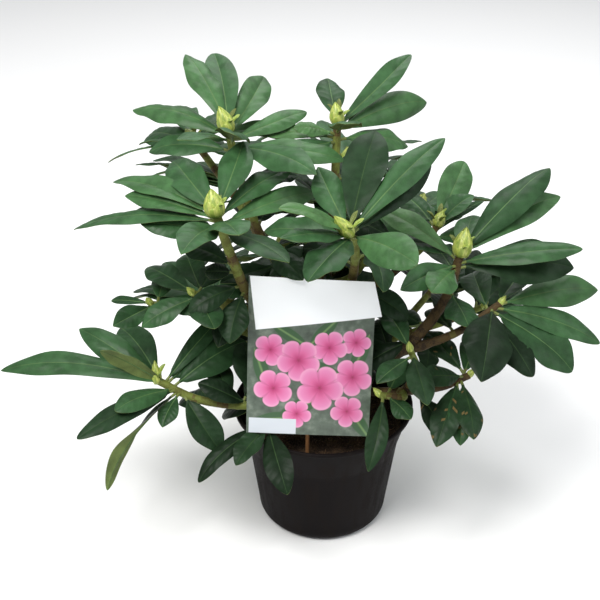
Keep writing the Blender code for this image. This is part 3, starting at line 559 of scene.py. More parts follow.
def tube_faces(count, sides, first=0):
    """Faces of a tube with this many rings, and a cap at each end."""
    faces = [tuple(first + k for k in range(sides - 1, -1, -1))]
    for i in range(count - 1):
        for k in range(sides):
            low, high = first + i * sides + k, first + i * sides + (k + 1) % sides
            faces.append((low, high, high + sides, low + sides))
    faces.append(tuple(first + (count - 1) * sides + k for k in range(sides)))
    return faces


def wood_stick():
    """A smooth brown-stained stick with its grain along it."""
    finish, wiring, feed, bump = new_finish("stick", STICK_BROWN, 0.5)
    grain = wiring.mottle(1.1, 4, wiring.place((1, 1, 0.08)))
    feed("Base Color", wiring.mix(grain, GRAIN_DARK, GRAIN_LIGHT))
    bump(grain, 0.15, 0.6)
    return finish


half = CARD_WIDTH / 2
outline = (
    (-half, 0), (half, 0), (half, BANNER_LOW[1] - 1), (BANNER_LOW[0] - half, BANNER_LOW[1]),
    (BANNER_HIGH[0] - half, BANNER_HIGH[1]), (-half - BANNER_OVERHANG, CARD_HEIGHT),
)
work = bmesh.new()
front_face = work.faces.new([work.verts.new((x, y, CARD_THICK / 2)) for x, y in outline])
back = bmesh.ops.extrude_face_region(work, geom=[front_face], use_keep_orig=True)
for item in back["geom"]:
    if isinstance(item, bmesh.types.BMVert):
        item.co.z = -CARD_THICK / 2
bmesh.ops.recalc_face_normals(work, faces=work.faces)
for axis, low, high in ((0, -half, BANNER_LOW[0] - half), (1, 0, CARD_HEIGHT)):
    for i in range(1, math.ceil((high - low) / CARD_CELL)):
        spot, line = Vector(), Vector()
        spot[axis], line[axis] = low + i * CARD_CELL, 1
        everything = [*work.verts, *work.edges, *work.faces]
        bmesh.ops.bisect_plane(work, geom=everything, plane_co=spot, plane_no=line)
placing = work.loops.layers.uv.new("card")
for face in work.faces:
    face.material_index = 0 if face.normal.z > 0.5 else 1
    for loop in face.loops:
        loop[placing].uv = ((loop.vert.co.x + half) / CARD_WIDTH, loop.vert.co.y / CARD_HEIGHT)
for corner in work.verts:
    x, y = corner.co.x / half, corner.co.y / CARD_HEIGHT
    corner.co.z -= CARD_CURL * (x**2 * (0.5 + 0.5 * y) - 0.4 * y**2)
bmesh.ops.transform(work, matrix=card_matrix() @ Matrix.Scale(MM, 4), verts=work.verts)
card_mesh = mesh_of(work, "label_card")
card_mesh.shade_smooth()
card_mesh.set_sharp_from_angle(angle=math.radians(40))
card = add_piece("picture_card", card_mesh, [printed_card(), plain_card()])
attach(card, "root")
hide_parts("label_card")

behind = -(CARD_THICK / 2 + STICK_RADIUS + GAP)
stick_low, stick_top = ((card_matrix() @ (Vector((0, up, behind)) * MM)) / MM for up in STICK_UP)
stick_bend = Vector((stick_low.x, stick_low.y - STICK_BEND[0], stick_low.z - STICK_BEND[1]))
at_peat = Vector((stick_low.x, STICK_DOWN[0], SOIL_TOP))
stick_foot = Vector((stick_low.x, *STICK_DOWN))
stick_path = smooth_path((stick_top, stick_low, stick_bend, at_peat, stick_foot), STICK_STEP)
stick_mesh = bpy.data.meshes.new("stick")
stick_rings = rings_along(stick_path, [STICK_RADIUS] * len(stick_path), STICK_SIDES)
stick_faces = tube_faces(len(stick_path), STICK_SIDES)
stick_mesh.from_pydata([corner * MM for corner in stick_rings], [], stick_faces)
stick_mesh.shade_smooth()
stick_mesh.set_sharp_from_angle(angle=math.radians(50))
stick = add_piece("label_stick_brown", stick_mesh, [wood_stick()])
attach(stick, "root")
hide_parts("label_stick")


# Stems
# A short trunk with a root flare, cut flat at the peat, and the boughs that leave it, each one shoot
# of living wood that ends in a whorl. Bark is brown and ridged at the foot and green towards the tips.

TRUNK_FOOT = SOIL_TOP + SOIL_CROWN + GAP
TRUNK_PATH = (
    (2, 8, TRUNK_FOOT), (2, 8, TRUNK_FOOT + 4), (1, 7, 130), (0, 6, 150), (-2, 6, 172), (-4, 5, 195),
)
TRUNK_RADII = (13.0, 10.8, 9.4, 8.7, 8.1, 7.4)

# Shoots: each is one smooth limb from its parent to a whorl of leaves. The stretch nearest the
# parent is the bough, and the last stretch is the twig that the leaves are fused to.
TWIG_LENGTH = 46.0
SHORTEST_BOUGH = 30.0
LIMB_STEP = 7.0  # between the points that a limb is planned with
TREE_STEP = 8.0  # and those that leaves are kept clear of it with
LIMB_CLEARANCE = 0.33  # between a limb's end face and the limbs it leaves
CLEAR_STEPS = (3.0, 0.1)
END_RINGS = ((1.0, 12), (0.5, 6))  # points that its end face is tried at: share of the radius, number
TUBE_SIDES, POT_SIDES = 8, 32  # of the plain shapes that leaves are kept clear of
SIDEWAYS = Vector((0.31, 0.17, 0.93))  # no limb runs along it
# Each shoot's parent, how far along it, points on the way, whorl's centre, radius at start and end
SHOOTS = {
    "top_right": ("trunk", 1.0, ((-2, 12, 240), (8, 38, 330)), (12, 60, 430), 6.4, 3.8),
    "top_left": (
        "top_right", 0.2, ((-34, 12, 276), (-64, 22, 322), (-84, 34, 380)), (-95, 40, 430), 5.2, 3.8,
    ),
    "left_front": (
        "trunk", 0.8, ((-38, -4, 222), (-73, -18, 272), (-90, -45, 335)), (-101, -70, 393), 6.4, 4.2,
    ),
    "middle_front": (
        "trunk", 0.86, ((14, -12, 222), (27, -20, 300), (26, -60, 352)), (18, -95, 385), 5.4, 3.8,
    ),
    "right_front": (
        "trunk", 0.7, ((35, -12, 192), (76, -38, 224), (117, -22, 270)), (133, -10, 321), 7.2, 4.4,
    ),
    "right_back": (
        "top_right", 0.1, ((30, 22, 250), (62, 26, 270), (103, 40, 302)), (116, 50, 322), 4.2, 3.4,
    ),
    "far_right": ("right_front", 0.42, ((128, -42, 247),), (174, -20, 268), 4.4, 3.6),
    "low_right": ("trunk", 0.45, ((50, -40, 176), (108, -72, 202)), (142, -60, 209), 5.2, 3.6),
    "low_left": (
        "trunk", 0.42, ((-38, -30, 158), (-76, -46, 163), (-128, -40, 166)), (-171, -30, 183), 5.0, 4.0,
    ),
    "left_inner": ("left_front", 0.3, ((-88, -2, 256),), (-131, -20, 280), 4.2, 3.4),
    "left_small": (
        "trunk", 0.72, ((-44, 20, 190), (-100, 40, 205), (-150, 16, 240)), (-175, -10, 263), 4.0, 3.0,
    ),
    "over_rim": ("low_right", 0.58, ((76, -78, 195),), (55, -66, 190), 4.0, 3.4),
    "inner_right": ("low_right", 0.6, ((91, -66, 216),), (82, -66, 243), 3.6, 3.2),
    "front_low": ("trunk", 0.28, ((-34, -36, 144),), (-60, -60, 147), 4.2, 3.4),
    "left_top_back": ("top_left", 0.42, ((-96, 66, 352),), (-134, 95, 395), 4.4, 3.6),
    "back_leader": ("trunk", 0.86, ((-8, 40, 214), (-4, 100, 258)), (0, 164, 302), 6.2, 3.8),
    "back_left": ("back_leader", 0.3, ((-52, 84, 268), (-84, 112, 306)), (-104, 130, 340), 4.6, 3.6),
    "back_right": ("back_leader", 0.42, ((44, 108, 252), (80, 128, 272)), (104, 144, 292), 4.6, 3.6),
    "back_low_left": ("trunk", 0.66, ((-44, 40, 168), (-88, 78, 184)), (-122, 108, 202), 4.8, 3.6),
    "back_low": ("trunk", 0.4, ((-6, 60, 166), (-8, 110, 180)), (-10, 158, 198), 4.8, 3.6),
    "back_low_right": ("trunk", 0.6, ((50, 40, 170), (92, 84, 186)), (122, 116, 204), 4.8, 3.6),
    "far_right_back": ("back_low_right", 0.52, ((130, 62, 196),), (172, 62, 216), 4.0, 3.4),
    "top_back": ("top_right", 0.4, ((20, 84, 318),), (26, 136, 352), 4.4, 3.6),
    "inner_left": ("back_leader", 0.16, ((-34, 52, 250),), (-46, 64, 292), 3.8, 3.4),
    "inner_middle": ("top_right", 0.3, ((30, 14, 282),), (46, 4, 318), 3.8, 3.4),
}


class Limb:
    """A limb's path, how far along it each point of the path is, and its radius there."""

    def __init__(self, path, radii):
        self.path, self.run, self.start, self.joint = path, [0.0], 0.0, 0.0
        for a, b in zip(path, path[1:]):
            self.run.append(self.run[-1] + (b - a).length)
        self.length, self.radii = self.run[-1], radii
        if len(radii) < len(path):
            thick, thin = radii
            self.radii = [thick + (thin - thick) * run / self.length for run in self.run]

    def at(self, distance):
        """The point, direction and radius at a distance along it."""
        path, run, radii = self.path, self.run, self.radii
        distance = min(max(distance, 0.0), self.length)
        i = 0
        while i < len(path) - 2 and distance > run[i + 1]:
            i += 1
        along = (distance - run[i]) / (run[i + 1] - run[i])
        radius = radii[i] + (radii[i + 1] - radii[i]) * along
        return path[i].lerp(path[i + 1], along), (path[i + 1] - path[i]).normalized(), radius

    def stretch(self, start, end):
        """Points and radii between two distances, with a square end where a bough is cut."""
        count = max(3, round((end - start) / TREE_STEP))
        stops = [self.at(start + (end - start) * i / count) for i in range(count + 1)]
        points = [point for point, _, _ in stops]
        points[1] = points[0] + stops[0][1] * (points[1] - points[0]).length
        if end == self.joint:
            points[-2] = points[-1] - stops[-1][1] * (points[-1] - points[-2]).length
        return points, [radius for _, _, radius in stops]

    def distance_to(self, point):
        """How far a point is outside its surface, from its start to its flat far end."""
        path, radii = self.path, self.radii
        best = math.inf
        for i in range(len(path) - 1):
            line = path[i + 1] - path[i]
            first = (self.start - self.run[i]) / line.length
            if first >= 1:
                continue
            along = (point - path[i]).dot(line) / line.length_squared
            beyond = (along - 1) * line.length
            along = min(max(along, first, 0.0), 1.0)
            offset = (point - path[i] - along * line).length
            radius = radii[i] + (radii[i + 1] - radii[i]) * along
            if i == len(path) - 2 and beyond > 0:
                sideways = math.sqrt(max(offset**2 - beyond**2, 0.0))
                best = min(best, math.hypot(max(sideways - radius, 0.0), beyond))
            else:
                best = min(best, offset - radius)
        return best


def ring(centre, direction, radius, sides):
    side = direction.cross(SIDEWAYS).normalized()
    other = direction.cross(side)
    turns = [2 * math.pi * i / sides for i in range(sides)]
    return [centre + radius * (math.cos(a) * side + math.sin(a) * other) for a in turns]


def clear_start(limb, others):
    """The least distance along a limb where its end face is clear of others, found in two sizes of step."""

    def is_clear(distance):
        centre, direction, radius = limb.at(distance)
        face = [p for share, count in END_RINGS for p in ring(centre, direction, share * radius, count)]
        return all(other.distance_to(p) >= LIMB_CLEARANCE for other in others for p in (*face, centre))

    coarse, fine = CLEAR_STEPS
    distance = coarse
    while not is_clear(distance):
        distance += coarse
    distance -= coarse
    while not is_clear(distance):
        distance += fine
    return distance


limbs = {"trunk": Limb([Vector(p) for p in TRUNK_PATH], TRUNK_RADII)}
for name, (parent, share, via, centre, *radii) in SHOOTS.items():
    root, _, _ = limbs[parent].at(share * limbs[parent].length)
    limb = Limb(smooth_path((root, *via, centre), LIMB_STEP), radii)
    limb.start = clear_start(limb, list(limbs.values()))
    limb.joint = limb.length - TWIG_LENGTH
    if limb.joint - limb.start < SHORTEST_BOUGH:
        limb.joint = limb.start
    limbs[name] = limb

PEAT_DEPTH = 5.0  # how far the trunk's foot is sunk in the peat
BARK_STEP, BARK_SIDES = 3.0, 16
BARK_RIDGE = 0.05  # of the radius
FIRST_JOINT = 12.0  # least length of the part that is drawn with the boughs
FOOT_ROOM = 12.0  # kept free of scars and leaves at a shoot's foot
COLLAR = (0.28, 7.0)  # swelling where a bough leaves its parent: of the radius, and how far it reaches
SCAR_HEIGHT, SCAR_WIDTH, SCAR_STEP = 0.55, 1.6, 5.5
SCARS_PER_YEAR, YEAR_GROWTH = 7, 70.0
GOLDEN_ANGLE = 137.5
BROWN_FROM, OLIVE_FROM = 5.5, 4.5  # radii over which bark is brown, and olive
BARK_FRAY = 0.5  # how far their edge strays round the limb
BANDS = (16.0, 3.0)  # of older and younger bark along a shoot: their size, and how far they shift it
BARK_AGES = {  # shoots whose bark is browner or greener than others of their radius
    "right_front": 2.8, "far_right": 3.0, "low_right": 2.6, "right_back": 1.4, "inner_right": 1.4,
    "over_rim": 1.2, "low_left": -0.8, "left_front": -0.9, "top_left": -0.8,
}
BARKS = (  # colour, colour where it is worn, and how deep its freckles are
    ("brown bark", (0.072, 0.047, 0.018), (0.028, 0.019, 0.012), 0.5),
    ("olive bark", (0.105, 0.092, 0.026), (0.062, 0.038, 0.015), 0.35),
    ("green shoot", (0.135, 0.165, 0.035), (0.085, 0.088, 0.022), 0.2),
)


def bark_finish(name, colour, weathered, ridge):
    """Living bark: streaked along the limb, freckled, and duller where it has weathered."""
    finish, wiring, feed, bump = new_finish(name, colour, 0.7, Specular_IOR_Level=0.14)
    freckles = wiring.mottle(1.3, 4)
    worn = wiring.rise(wiring.mottle(12) * 0.6 + freckles * 0.4, 0.42, 0.62)
    feed("Base Color", wiring.mix(worn, colour, weathered))
    feed("Roughness", worn * 0.25 + 0.52)
    bump(freckles, ridge, 0.8)
    return finish


def limb_relief(name, limb, distances):
    """Ridges, a collar at the foot and the scars of each year's leaves, in millimetres over the radius."""
    draw = random.Random(f"{name} bark")
    scars = []
    year = limb.length - YEAR_GROWTH * draw.uniform(0.8, 1.1)
    while year > limb.start + FOOT_ROOM:
        for i in range(SCARS_PER_YEAR):
            turn = math.radians(GOLDEN_ANGLE * i) + draw.uniform(-0.3, 0.3)
            scars.append((year - i * SCAR_STEP * 0.5, turn % (2 * math.pi)))
        year -= YEAR_GROWTH * draw.uniform(0.8, 1.2)
    shift = Vector((draw.uniform(0, 50), 0, 0))

    def relief(i, angle):
        distance = distances[i]
        _, _, radius = limb.at(distance)
        spot = Vector((math.cos(angle) * 1.6, math.sin(angle) * 1.6, distance / 14)) + shift
        height = BARK_RIDGE * radius * noise.fractal(spot, 0.9, 2.1, 3)
        height += COLLAR[0] * radius * math.exp(-(((distance - limb.start) / COLLAR[1]) ** 2))
        for scar, turn in scars:
            if abs(scar - distance) < 3 * SCAR_WIDTH:
                round_it = (angle - turn + math.pi) % (2 * math.pi) - math.pi
                off = ((scar - distance) / SCAR_WIDTH) ** 2 + (round_it * radius / (1.4 * SCAR_WIDTH)) ** 2
                height += SCAR_HEIGHT * math.exp(-off)
        return height

    return relief


class Batch:
    """Corners, faces and slots of many small things that become one mesh."""

    def __init__(self):
        self.corners, self.faces, self.slots = [], [], []

    def add(self, corners, faces, slots):
        first = len(self.corners)
        self.corners += [tuple(corner) for corner in corners]
        self.faces += [tuple(first + i for i in face) for face in faces]
        self.slots += slots

    def piece(self, name, finishes, sharp=50):
        """The batch as one object, in metres."""
        mesh = bpy.data.meshes.new(name)
        mesh.from_pydata([(x * MM, y * MM, z * MM) for x, y, z in self.corners], [], self.faces)
        made = add_piece(name, mesh, finishes)
        mesh.polygons.foreach_set("material_index", self.slots)
        mesh.shade_smooth()
        mesh.set_sharp_from_angle(angle=math.radians(sharp))
        return made


def add_tube(batch, name, start, end):
    """A stretch of a limb with its bark's relief, brown where it is thick and green where it is thin."""
    limb = limbs[name]
    count = max(3, round((end - start) / BARK_STEP))
    distances = [start + (end - start) * i / count for i in range(count + 1)]
    stops = [limb.at(distance) for distance in distances]
    points, radii = [stop[0] for stop in stops], [stop[2] for stop in stops]
    for i, distance in enumerate(distances):
        if distance < 0:
            points[i] = points[i] + Vector((0, 0, distance))
    corners = rings_along(points, radii, BARK_SIDES, limb_relief(name, limb, distances))
    faces = tube_faces(count + 1, BARK_SIDES)
    slots = []
    row = random.Random(f"{name} bands").uniform(0, 40)
    for face in faces:
        i = min(face[0] // BARK_SIDES, count)
        age = radii[i] + BARK_AGES.get(name, 0.0) + BARK_FRAY * noise.noise(corners[face[0]] / 7)
        age += BANDS[1] * noise.noise(Vector((distances[i] / BANDS[0], row, 0)))
        slots.append(0 if age > BROWN_FROM else 1 if age > OLIVE_FROM else 2)
    batch.add(corners, faces, slots)


bark_finishes = [bark_finish(*bark) for bark in BARKS]
boughs, twigs = Batch(), Batch()
add_tube(boughs, "trunk", -PEAT_DEPTH, limbs["trunk"].length)
for name in SHOOTS:
    joint = max(limbs[name].joint, FIRST_JOINT)
    add_tube(boughs, name, 0.0, joint)
    add_tube(twigs, name, joint - BARK_STEP, limbs[name].length)
bough_nodes = [f"bough_{name}" for name in SHOOTS if f"bough_{name}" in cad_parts]
boughs = boughs.piece("trunk_and_boughs", bark_finishes)
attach(boughs, "root")
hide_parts("trunk", *bough_nodes)
twigs = twigs.piece("leafy_twigs", bark_finishes)
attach(twigs, "root")


# Leaves
# Leathery evergreen leaves, 5 to 16 cm long on short stalks, in whorls round each bud. The midrib is
# sunk and pale, the side veins dent the glossy face, and the underside is a dull yellow-green. Lower
# and inner leaves are dealt darker tints and top ones lighter: partly their own tone, partly painted
# light and shade.

# Leaves of the whorls that face the front, from the bud downwards: azimuth and rise of the line
# from the whorl's centre to the leaf's tip in degrees, its length, and where it has one of its own
# its roll and then its breadth beside that of other leaves
LEAVES = {
    "top_left": (
        (100, 22, 112, 2, 0.9), (118, 21, 108, -4, 0.85), (70, 12, 100, 13, 0.9), (150, 0, 115, -14, 0.8),
        (31, -4, 90, 22, 0.75), (234, 9, 72, -10, 0.9), (279, 16, 62, -14, 1.3), (312, -2, 125, 16, 0.95),
        (343, -8, 118, 20, 0.9), (165, -20, 90),
    ),
    "left_top_back": (
        (105, 3, 90), (60, 4, 96), (160, -9, 64, 12, 0.8), (166, -18, 102, 14, 0.55), (135, -14, 100),
        (20, -14, 95), (80, -18, 96),
    ),
    "left_front": (
        (119, 10, 97, -12, 1.05), (76, 19, 98, 8, 0.95), (143, -2, 130, -14, 0.72), (53, 2, 115, 20, 0.72),
        (157, -3, 100, -14, 0.8), (166, -8, 145, -10, 0.62), (294, 4, 58, 4, 1.4), (38, -6, 118, 14, 0.8),
        (250, -5, 72, -12, 1.15), (316, -9, 94, -6, 1.15), (153, -12, 94, -12, 0.75), (172, -18, 72),
    ),
    "top_right": (
        (97, 17, 72, -2, 1.05), (46, 21, 120, 28, 0.62), (49, 4, 92, 10, 0.45), (32, 0, 113, 40, 0.9),
        (285, 20, 50, -8, 1.35), (205, 2, 46, -20, 0.8), (172, -8, 112, -25, 0.7), (16, -24, 84),
        (222, -14, 84),
    ),
    "middle_front": (
        (109, 20, 86, -10, 0.95), (75, 27, 124, 6, 1.1), (47, 20, 146, 20, 0.66), (51, 12, 134, 34, 0.6),
        (209, 32, 78, -18, 0.8), (219, 14, 78, -16, 0.75), (314, -1, 80, 24, 1.2), (245, -4, 86, -7, 1.1),
        (150, -12, 90),
    ),
    "right_back": (
        (65, 25, 92, 14, 1.05), (126, 10, 68, -16, 1.1), (35, 24, 52, 20, 0.9), (45, 1, 80, 30, 0.3),
        (165, 4, 78), (100, -8, 90), (20, -18, 60),
    ),
    "right_front": (
        (41, 24, 140, 14, 0.95), (32, 14, 132, 30, 0.8), (75, 3, 80), (150, 15, 103, -16, 0.85),
        (350, 7, 115, 22, 0.78), (220, -9, 83, -30, 0.9), (357, -6, 112, 34, 1.25), (242, -11, 72, -24, 1.2),
        (110, -14, 84),
    ),
    "far_right": (
        (14, 2, 108, 34, 0.95), (60, 8, 90), (350, -18, 108, 34, 0.85), (254, -6, 120, -10, 1.35),
        (324, -28, 96, 10, 1.35), (100, -6, 90), (287, -24, 86, 8, 1.2),
    ),
    "low_right": (
        (123, 14, 72), (207, 16, 58, -30, 1.1), (76, 8, 61), (268, -18, 76, -8), (243, -20, 88),
        (259, -26, 76),
    ),
    "inner_right": ((112, 14, 60), (279, -12, 70), (227, -14, 51)),
    "over_rim": ((258, -32, 80, -4, 0.72), (306, -2, 46), (70, 23, 56)),
    "low_left": (
        (122, 12, 90, -14, 1.15), (149, 18, 106, -28, 0.85), (44, 24, 102, 34, 0.6),
        (44, 11, 93, 34, 1.15), (175, 2, 164, -14, 0.62), (188, 38, 68, 78, 0.75), (28, 6, 103, 34, 1.2),
        (239, 5, 66, -10, 1.0), (228, -8, 106, -24, 0.75), (237, -41, 120, 24, 0.7), (280, -26, 53),
        (330, -35, 98, 20, 1.2),
    ),
    "left_inner": (
        (130, -2, 84), (62, 7, 60), (296, -8, 56, 6, 1.3), (200, -26, 60), (100, 4, 80), (20, 0, 76),
    ),
    "left_small": ((348, 8, 60, 30), (149, -13, 54, -30, 0.4), (235, -4, 50), (80, 0, 66)),
    "front_low": ((288, -22, 78), (249, -4, 54), (217, -14, 88, -10, 0.65)),
}

# Leaves of the whorls at the back, by rule: number of leaves, first azimuth and the sector that
# they are dealt into, rise of the top leaf and how much each next one drops, longest leaf
DEALT_LEAVES = {
    "back_leader": (10, 0, 360, 14, 4.0, 118),
    "back_left": (9, 60, 150, 14, 4.0, 112),
    "back_right": (9, -10, 150, 14, 4.0, 112),
    "back_low_left": (9, 70, 110, 6, 4.0, 120),
    "back_low": (10, 0, 360, 16, 5.0, 124),
    "back_low_right": (9, 10, 130, 10, 4.0, 118),
    "far_right_back": (8, -40, 150, 4, 4.0, 116),
    "top_back": (9, 10, 160, 12, 4.0, 108),
    "inner_left": (7, 0, 360, 6, 4.0, 90),
    "inner_middle": (7, 0, 360, 6, 4.0, 90),
}

# Leaf: a thin blade on a short stalk, drawn by its widths at a few stations
STALK = 9.0
STALK_HALF = 1.9
BLADE_STATIONS = (0.0, 0.24, 0.56, 0.85)
WIDTH_BASE, WIDTH_SHARE = 13.0, 0.2  # a leaf's width: a base, and a share of its length
WIDEST, BLUNTNESS = 1.24, 0.7  # powers that set where a blade is widest and how blunt it is
LEAF_THICK_SHARE = 0.012
LEAF_THINNEST = 1.3
EDGE_DROOP = 0.06  # of the half width
ARCHES = (0.045, 0.1)  # how high a leaf arches over the line from root to tip, of its length
LIGHT_TURN = 30.0  # how far a leaf that lies across the light turns its face to it
STRAY_ROLL, STRAY_RISE = 8.0, 4.0
DEALT_LENGTHS = (0.72, 1.0)  # of the whorl's longest leaf
LEAF_STEP = 2.4  # between one leaf's root and the next, down the twig
FIRST_LEAF = 3.0  # below the whorl's centre
CLEARANCE = 0.45  # kept from every other piece while a leaf is placed
# turns tried in order where a leaf would touch something: azimuth, rise
NUDGES = (
    (0, 0), (0, 5), (5, 0), (-5, 0), (0, -5), (6, 6), (-6, 6), (6, -6), (-6, -6), (0, 10), (11, 0),
    (-11, 0), (0, -10), (12, 10), (-12, 10), (12, -10), (-12, -10), (18, 0), (-18, 0), (0, 16), (0, -16),
)


def heading(azimuth, rise):
    turn, lift = math.radians(azimuth), math.radians(rise)
    return Vector((math.cos(turn) * math.cos(lift), math.sin(turn) * math.cos(lift), math.sin(lift)))


def leaf_axes(leaf):
    """A leaf's length, half its width, and its directions along, across and out of its face."""
    chord = leaf["tip"] - leaf["root"]
    length = chord.length
    along = chord / length
    across = Vector((0, 0, 1)).cross(along).normalized()
    face = along.cross(across)
    roll = math.radians(leaf["roll"])
    side = math.cos(roll) * across + math.sin(roll) * face
    up = math.cos(roll) * face - math.sin(roll) * across
    return length, leaf["breadth"] * (WIDTH_BASE + WIDTH_SHARE * length) / 2, along, side, up


def skin(rings, sides):
    """Triangles between rings of corners."""
    faces = []
    for i in range(rings - 1):
        for k in range(sides):
            low, high = i * sides + k, i * sides + (k + 1) % sides
            faces += [(low, high, high + sides), (low, high + sides, low + sides)]
    return faces


def leaf_tree(leaf, grow=0.0, first=0):
    """A search tree of a leaf's plain shape, with four corners at each station and then its tip."""
    length, half, along, side, up = leaf_axes(leaf)
    thick = max(LEAF_THINNEST, LEAF_THICK_SHARE * length) / 2 + grow
    stalk = STALK / length
    stations = [(0.0, STALK_HALF)]
    for u in BLADE_STATIONS:
        blade = half * math.sin(math.pi * u**WIDEST) ** BLUNTNESS
        stations.append((stalk + (1 - stalk) * u, max(STALK_HALF * (1 - 0.5 * u), blade)))
    stations = stations[first:]
    corners = []
    for t, width in stations:
        middle = leaf["root"] + along * (length * t) + up * (4 * leaf["arch"] * length * t * (1 - t))
        edge_middle = middle - EDGE_DROOP * width * up
        edge = side * (width + grow)
        corners += [edge_middle + edge, middle + up * thick, edge_middle - edge, middle - up * thick]
    last = len(corners)
    corners.append(leaf["tip"] + along * grow)
    faces = [(3, 2, 1, 0), *skin(len(stations), 4)]
    faces += [(last - 4 + k, last - 4 + (k + 1) % 4, last) for k in range(4)]
    return BVHTree.FromPolygons(corners, faces)


def tube_tree(points, radii, sides=TUBE_SIDES):
    """A search tree of a tube's faces, a little larger than the tube."""
    swell = 1 / math.cos(math.pi / sides)
    corners = []
    for i, (point, radius) in enumerate(zip(points, radii)):
        before, after = points[max(i - 1, 0)], points[min(i + 1, len(points) - 1)]
        corners += ring(point, (after - before).normalized(), radius * swell, sides)
    ends = [tuple(range(sides)), tuple(len(corners) - 1 - k for k in range(sides))]
    return BVHTree.FromPolygons(corners, skin(len(points), sides) + ends)


def pot_tree():
    heights = (0, POT_CORNER[1], POT_KNEE[1], POT_HEIGHT)
    radii = [wall_radius(z) for z in heights[:-1]] + [POT_RIM_RADIUS]
    return tube_tree([Vector((0, 0, z)) for z in heights], radii, POT_SIDES)


def card_tree():
    half, thick = CARD_WIDTH / 2, CARD_THICK / 2 + 2 * STICK_RADIUS + GAP
    left, right = -half - BANNER_OVERHANG, BANNER_LOW[0] - half
    corners = []
    for z in (-thick, CARD_THICK / 2):
        for x, y in ((left, 0), (right, 0), (right, CARD_HEIGHT), (left, CARD_HEIGHT)):
            corners.append((card_matrix() @ (Vector((x, y, z)) * MM)) / MM)
    faces = [(0, 1, 2, 3), (4, 5, 6, 7), (0, 1, 5, 4), (1, 2, 6, 5), (2, 3, 7, 6), (3, 0, 4, 7)]
    return BVHTree.FromPolygons(corners, faces)


def turn_to_light(name, centre, azimuth):
    """A leaf's roll, in degrees: front whorls face -Y, and the others face away from the trunk."""
    light = math.radians(270) if name in LEAVES else math.atan2(centre.y, centre.x)
    return LIGHT_TURN * math.sin(math.radians(azimuth) - light)


def wanted_leaves(name):
    """Azimuth, rise and length of each leaf of a whorl, from the bud downwards."""
    if name in LEAVES:
        return LEAVES[name]
    count, first, sector, rise, drop, longest = DEALT_LEAVES[name]
    draw = random.Random(name)
    leaves = []
    for i in range(count):
        azimuth = first + (GOLDEN_ANGLE * i) % sector
        leaf_rise = rise - drop * i + draw.uniform(-STRAY_RISE, STRAY_RISE)
        leaves.append((azimuth, leaf_rise, longest * draw.uniform(*DEALT_LENGTHS)))
    return leaves


# Leaves of earlier years that are left on the shoots: how far below the whorl, azimuth, rise, length
OLD_LEAVES = {
    "left_front": (
        (84, 150, 8, 62), (92, 176, 2, 32), (112, 200, -20, 60), (128, 60, 4, 64),
        (118, 252, -42, 58, 0, 1.3),
    ),
    "top_left": (
        (106, 70, 20, 40), (60, 18, 4, 58), (66, 340, -8, 62), (128, 300, -6, 70), (150, 210, 0, 66),
    ),
    "top_right": (
        (60, 60, 6, 60), (92, 330, -10, 66), (128, 220, -4, 78), (134, 350, -2, 74), (150, 270, -12, 76),
        (156, 120, 0, 80), (176, 30, -10, 76),
    ),
    "middle_front": ((84, 30, -6, 64), (96, 140, -8, 70), (120, 60, -4, 76), (128, 340, -26, 66)),
    "right_front": (
        (70, 70, -12, 76), (84, 120, -14, 72), (100, 200, -18, 62), (118, 170, -4, 66), (124, 60, -16, 60),
        (140, 230, -14, 58), (42, 287, -13, 51, 0, 1.5), (150, 120, 6, 64), (134, 100, 10, 60),
    ),
    "far_right": ((40, 200, -24, 56), (56, 110, -4, 60)),
    "low_right": ((60, 300, -24, 58), (78, 60, -6, 62), (96, 250, -10, 60), (112, 100, -8, 66)),
    "low_left": (
        (66, 140, -20, 60), (84, 110, 14, 70), (92, 60, 24, 66), (100, 180, 30, 58), (116, 150, -30, 64),
        (124, 240, -20, 56), (108, 100, 30, 72, 0, 1.3), (90, 85, 34, 76, 0, 1.3), (98, 95, 50, 62, 0, 1.2),
    ),
    "left_inner": ((52, 250, -22, 54),),
}
# and on the shoots at the back, by rule: the first one's place, their number and their spacing
OLD_FIRST, OLD_COUNT, OLD_STEP = 56.0, 7, 9.0
OLD_RISE, OLD_LENGTHS = (-30.0, 8.0), (58.0, 92.0)


def old_leaves(name):
    """How far below the whorl each older leaf of a shoot stands, and its azimuth, rise and length."""
    if name not in DEALT_LEAVES:
        return OLD_LEAVES.get(name, ())
    draw = random.Random(f"{name} old")
    first = draw.uniform(0, 360)
    leaves = []
    for i in range(OLD_COUNT):
        rise, length = draw.uniform(*OLD_RISE), draw.uniform(*OLD_LENGTHS)
        leaves.append((OLD_FIRST + OLD_STEP * i, first + GOLDEN_ANGLE * i, rise, length))
    return leaves


def fitted(name, root, foot, number, wanted, others, blades):
    """A leaf of a shoot at the first nudge that keeps it clear of the others, and its blade, or nothing.

    Its tip lies from foot along the way it heads, and its turn to the light is drawn by its number.
    """
    azimuth, rise, length, *own = wanted
    draw = random.Random(f"{name} {number}")
    arch = draw.uniform(*ARCHES)
    roll = turn_to_light(name, limbs[name].path[-1], azimuth) + draw.uniform(-STRAY_ROLL, STRAY_ROLL)
    roll = own[0] if own else roll
    breadth = own[1] if len(own) > 1 else 1.0
    for swing, lift in NUDGES:
        tip = foot + length * heading(azimuth + swing, rise + lift)
        leaf = {"root": root, "tip": tip, "arch": arch, "roll": roll, "breadth": breadth}
        tree, blade = leaf_tree(leaf, CLEARANCE), leaf_tree(leaf, 0.0, 2)
        if not any(tree.overlap(o) for o in others) and not any(blade.overlap(o) for o in blades):
            return leaf, blade
    return None, None


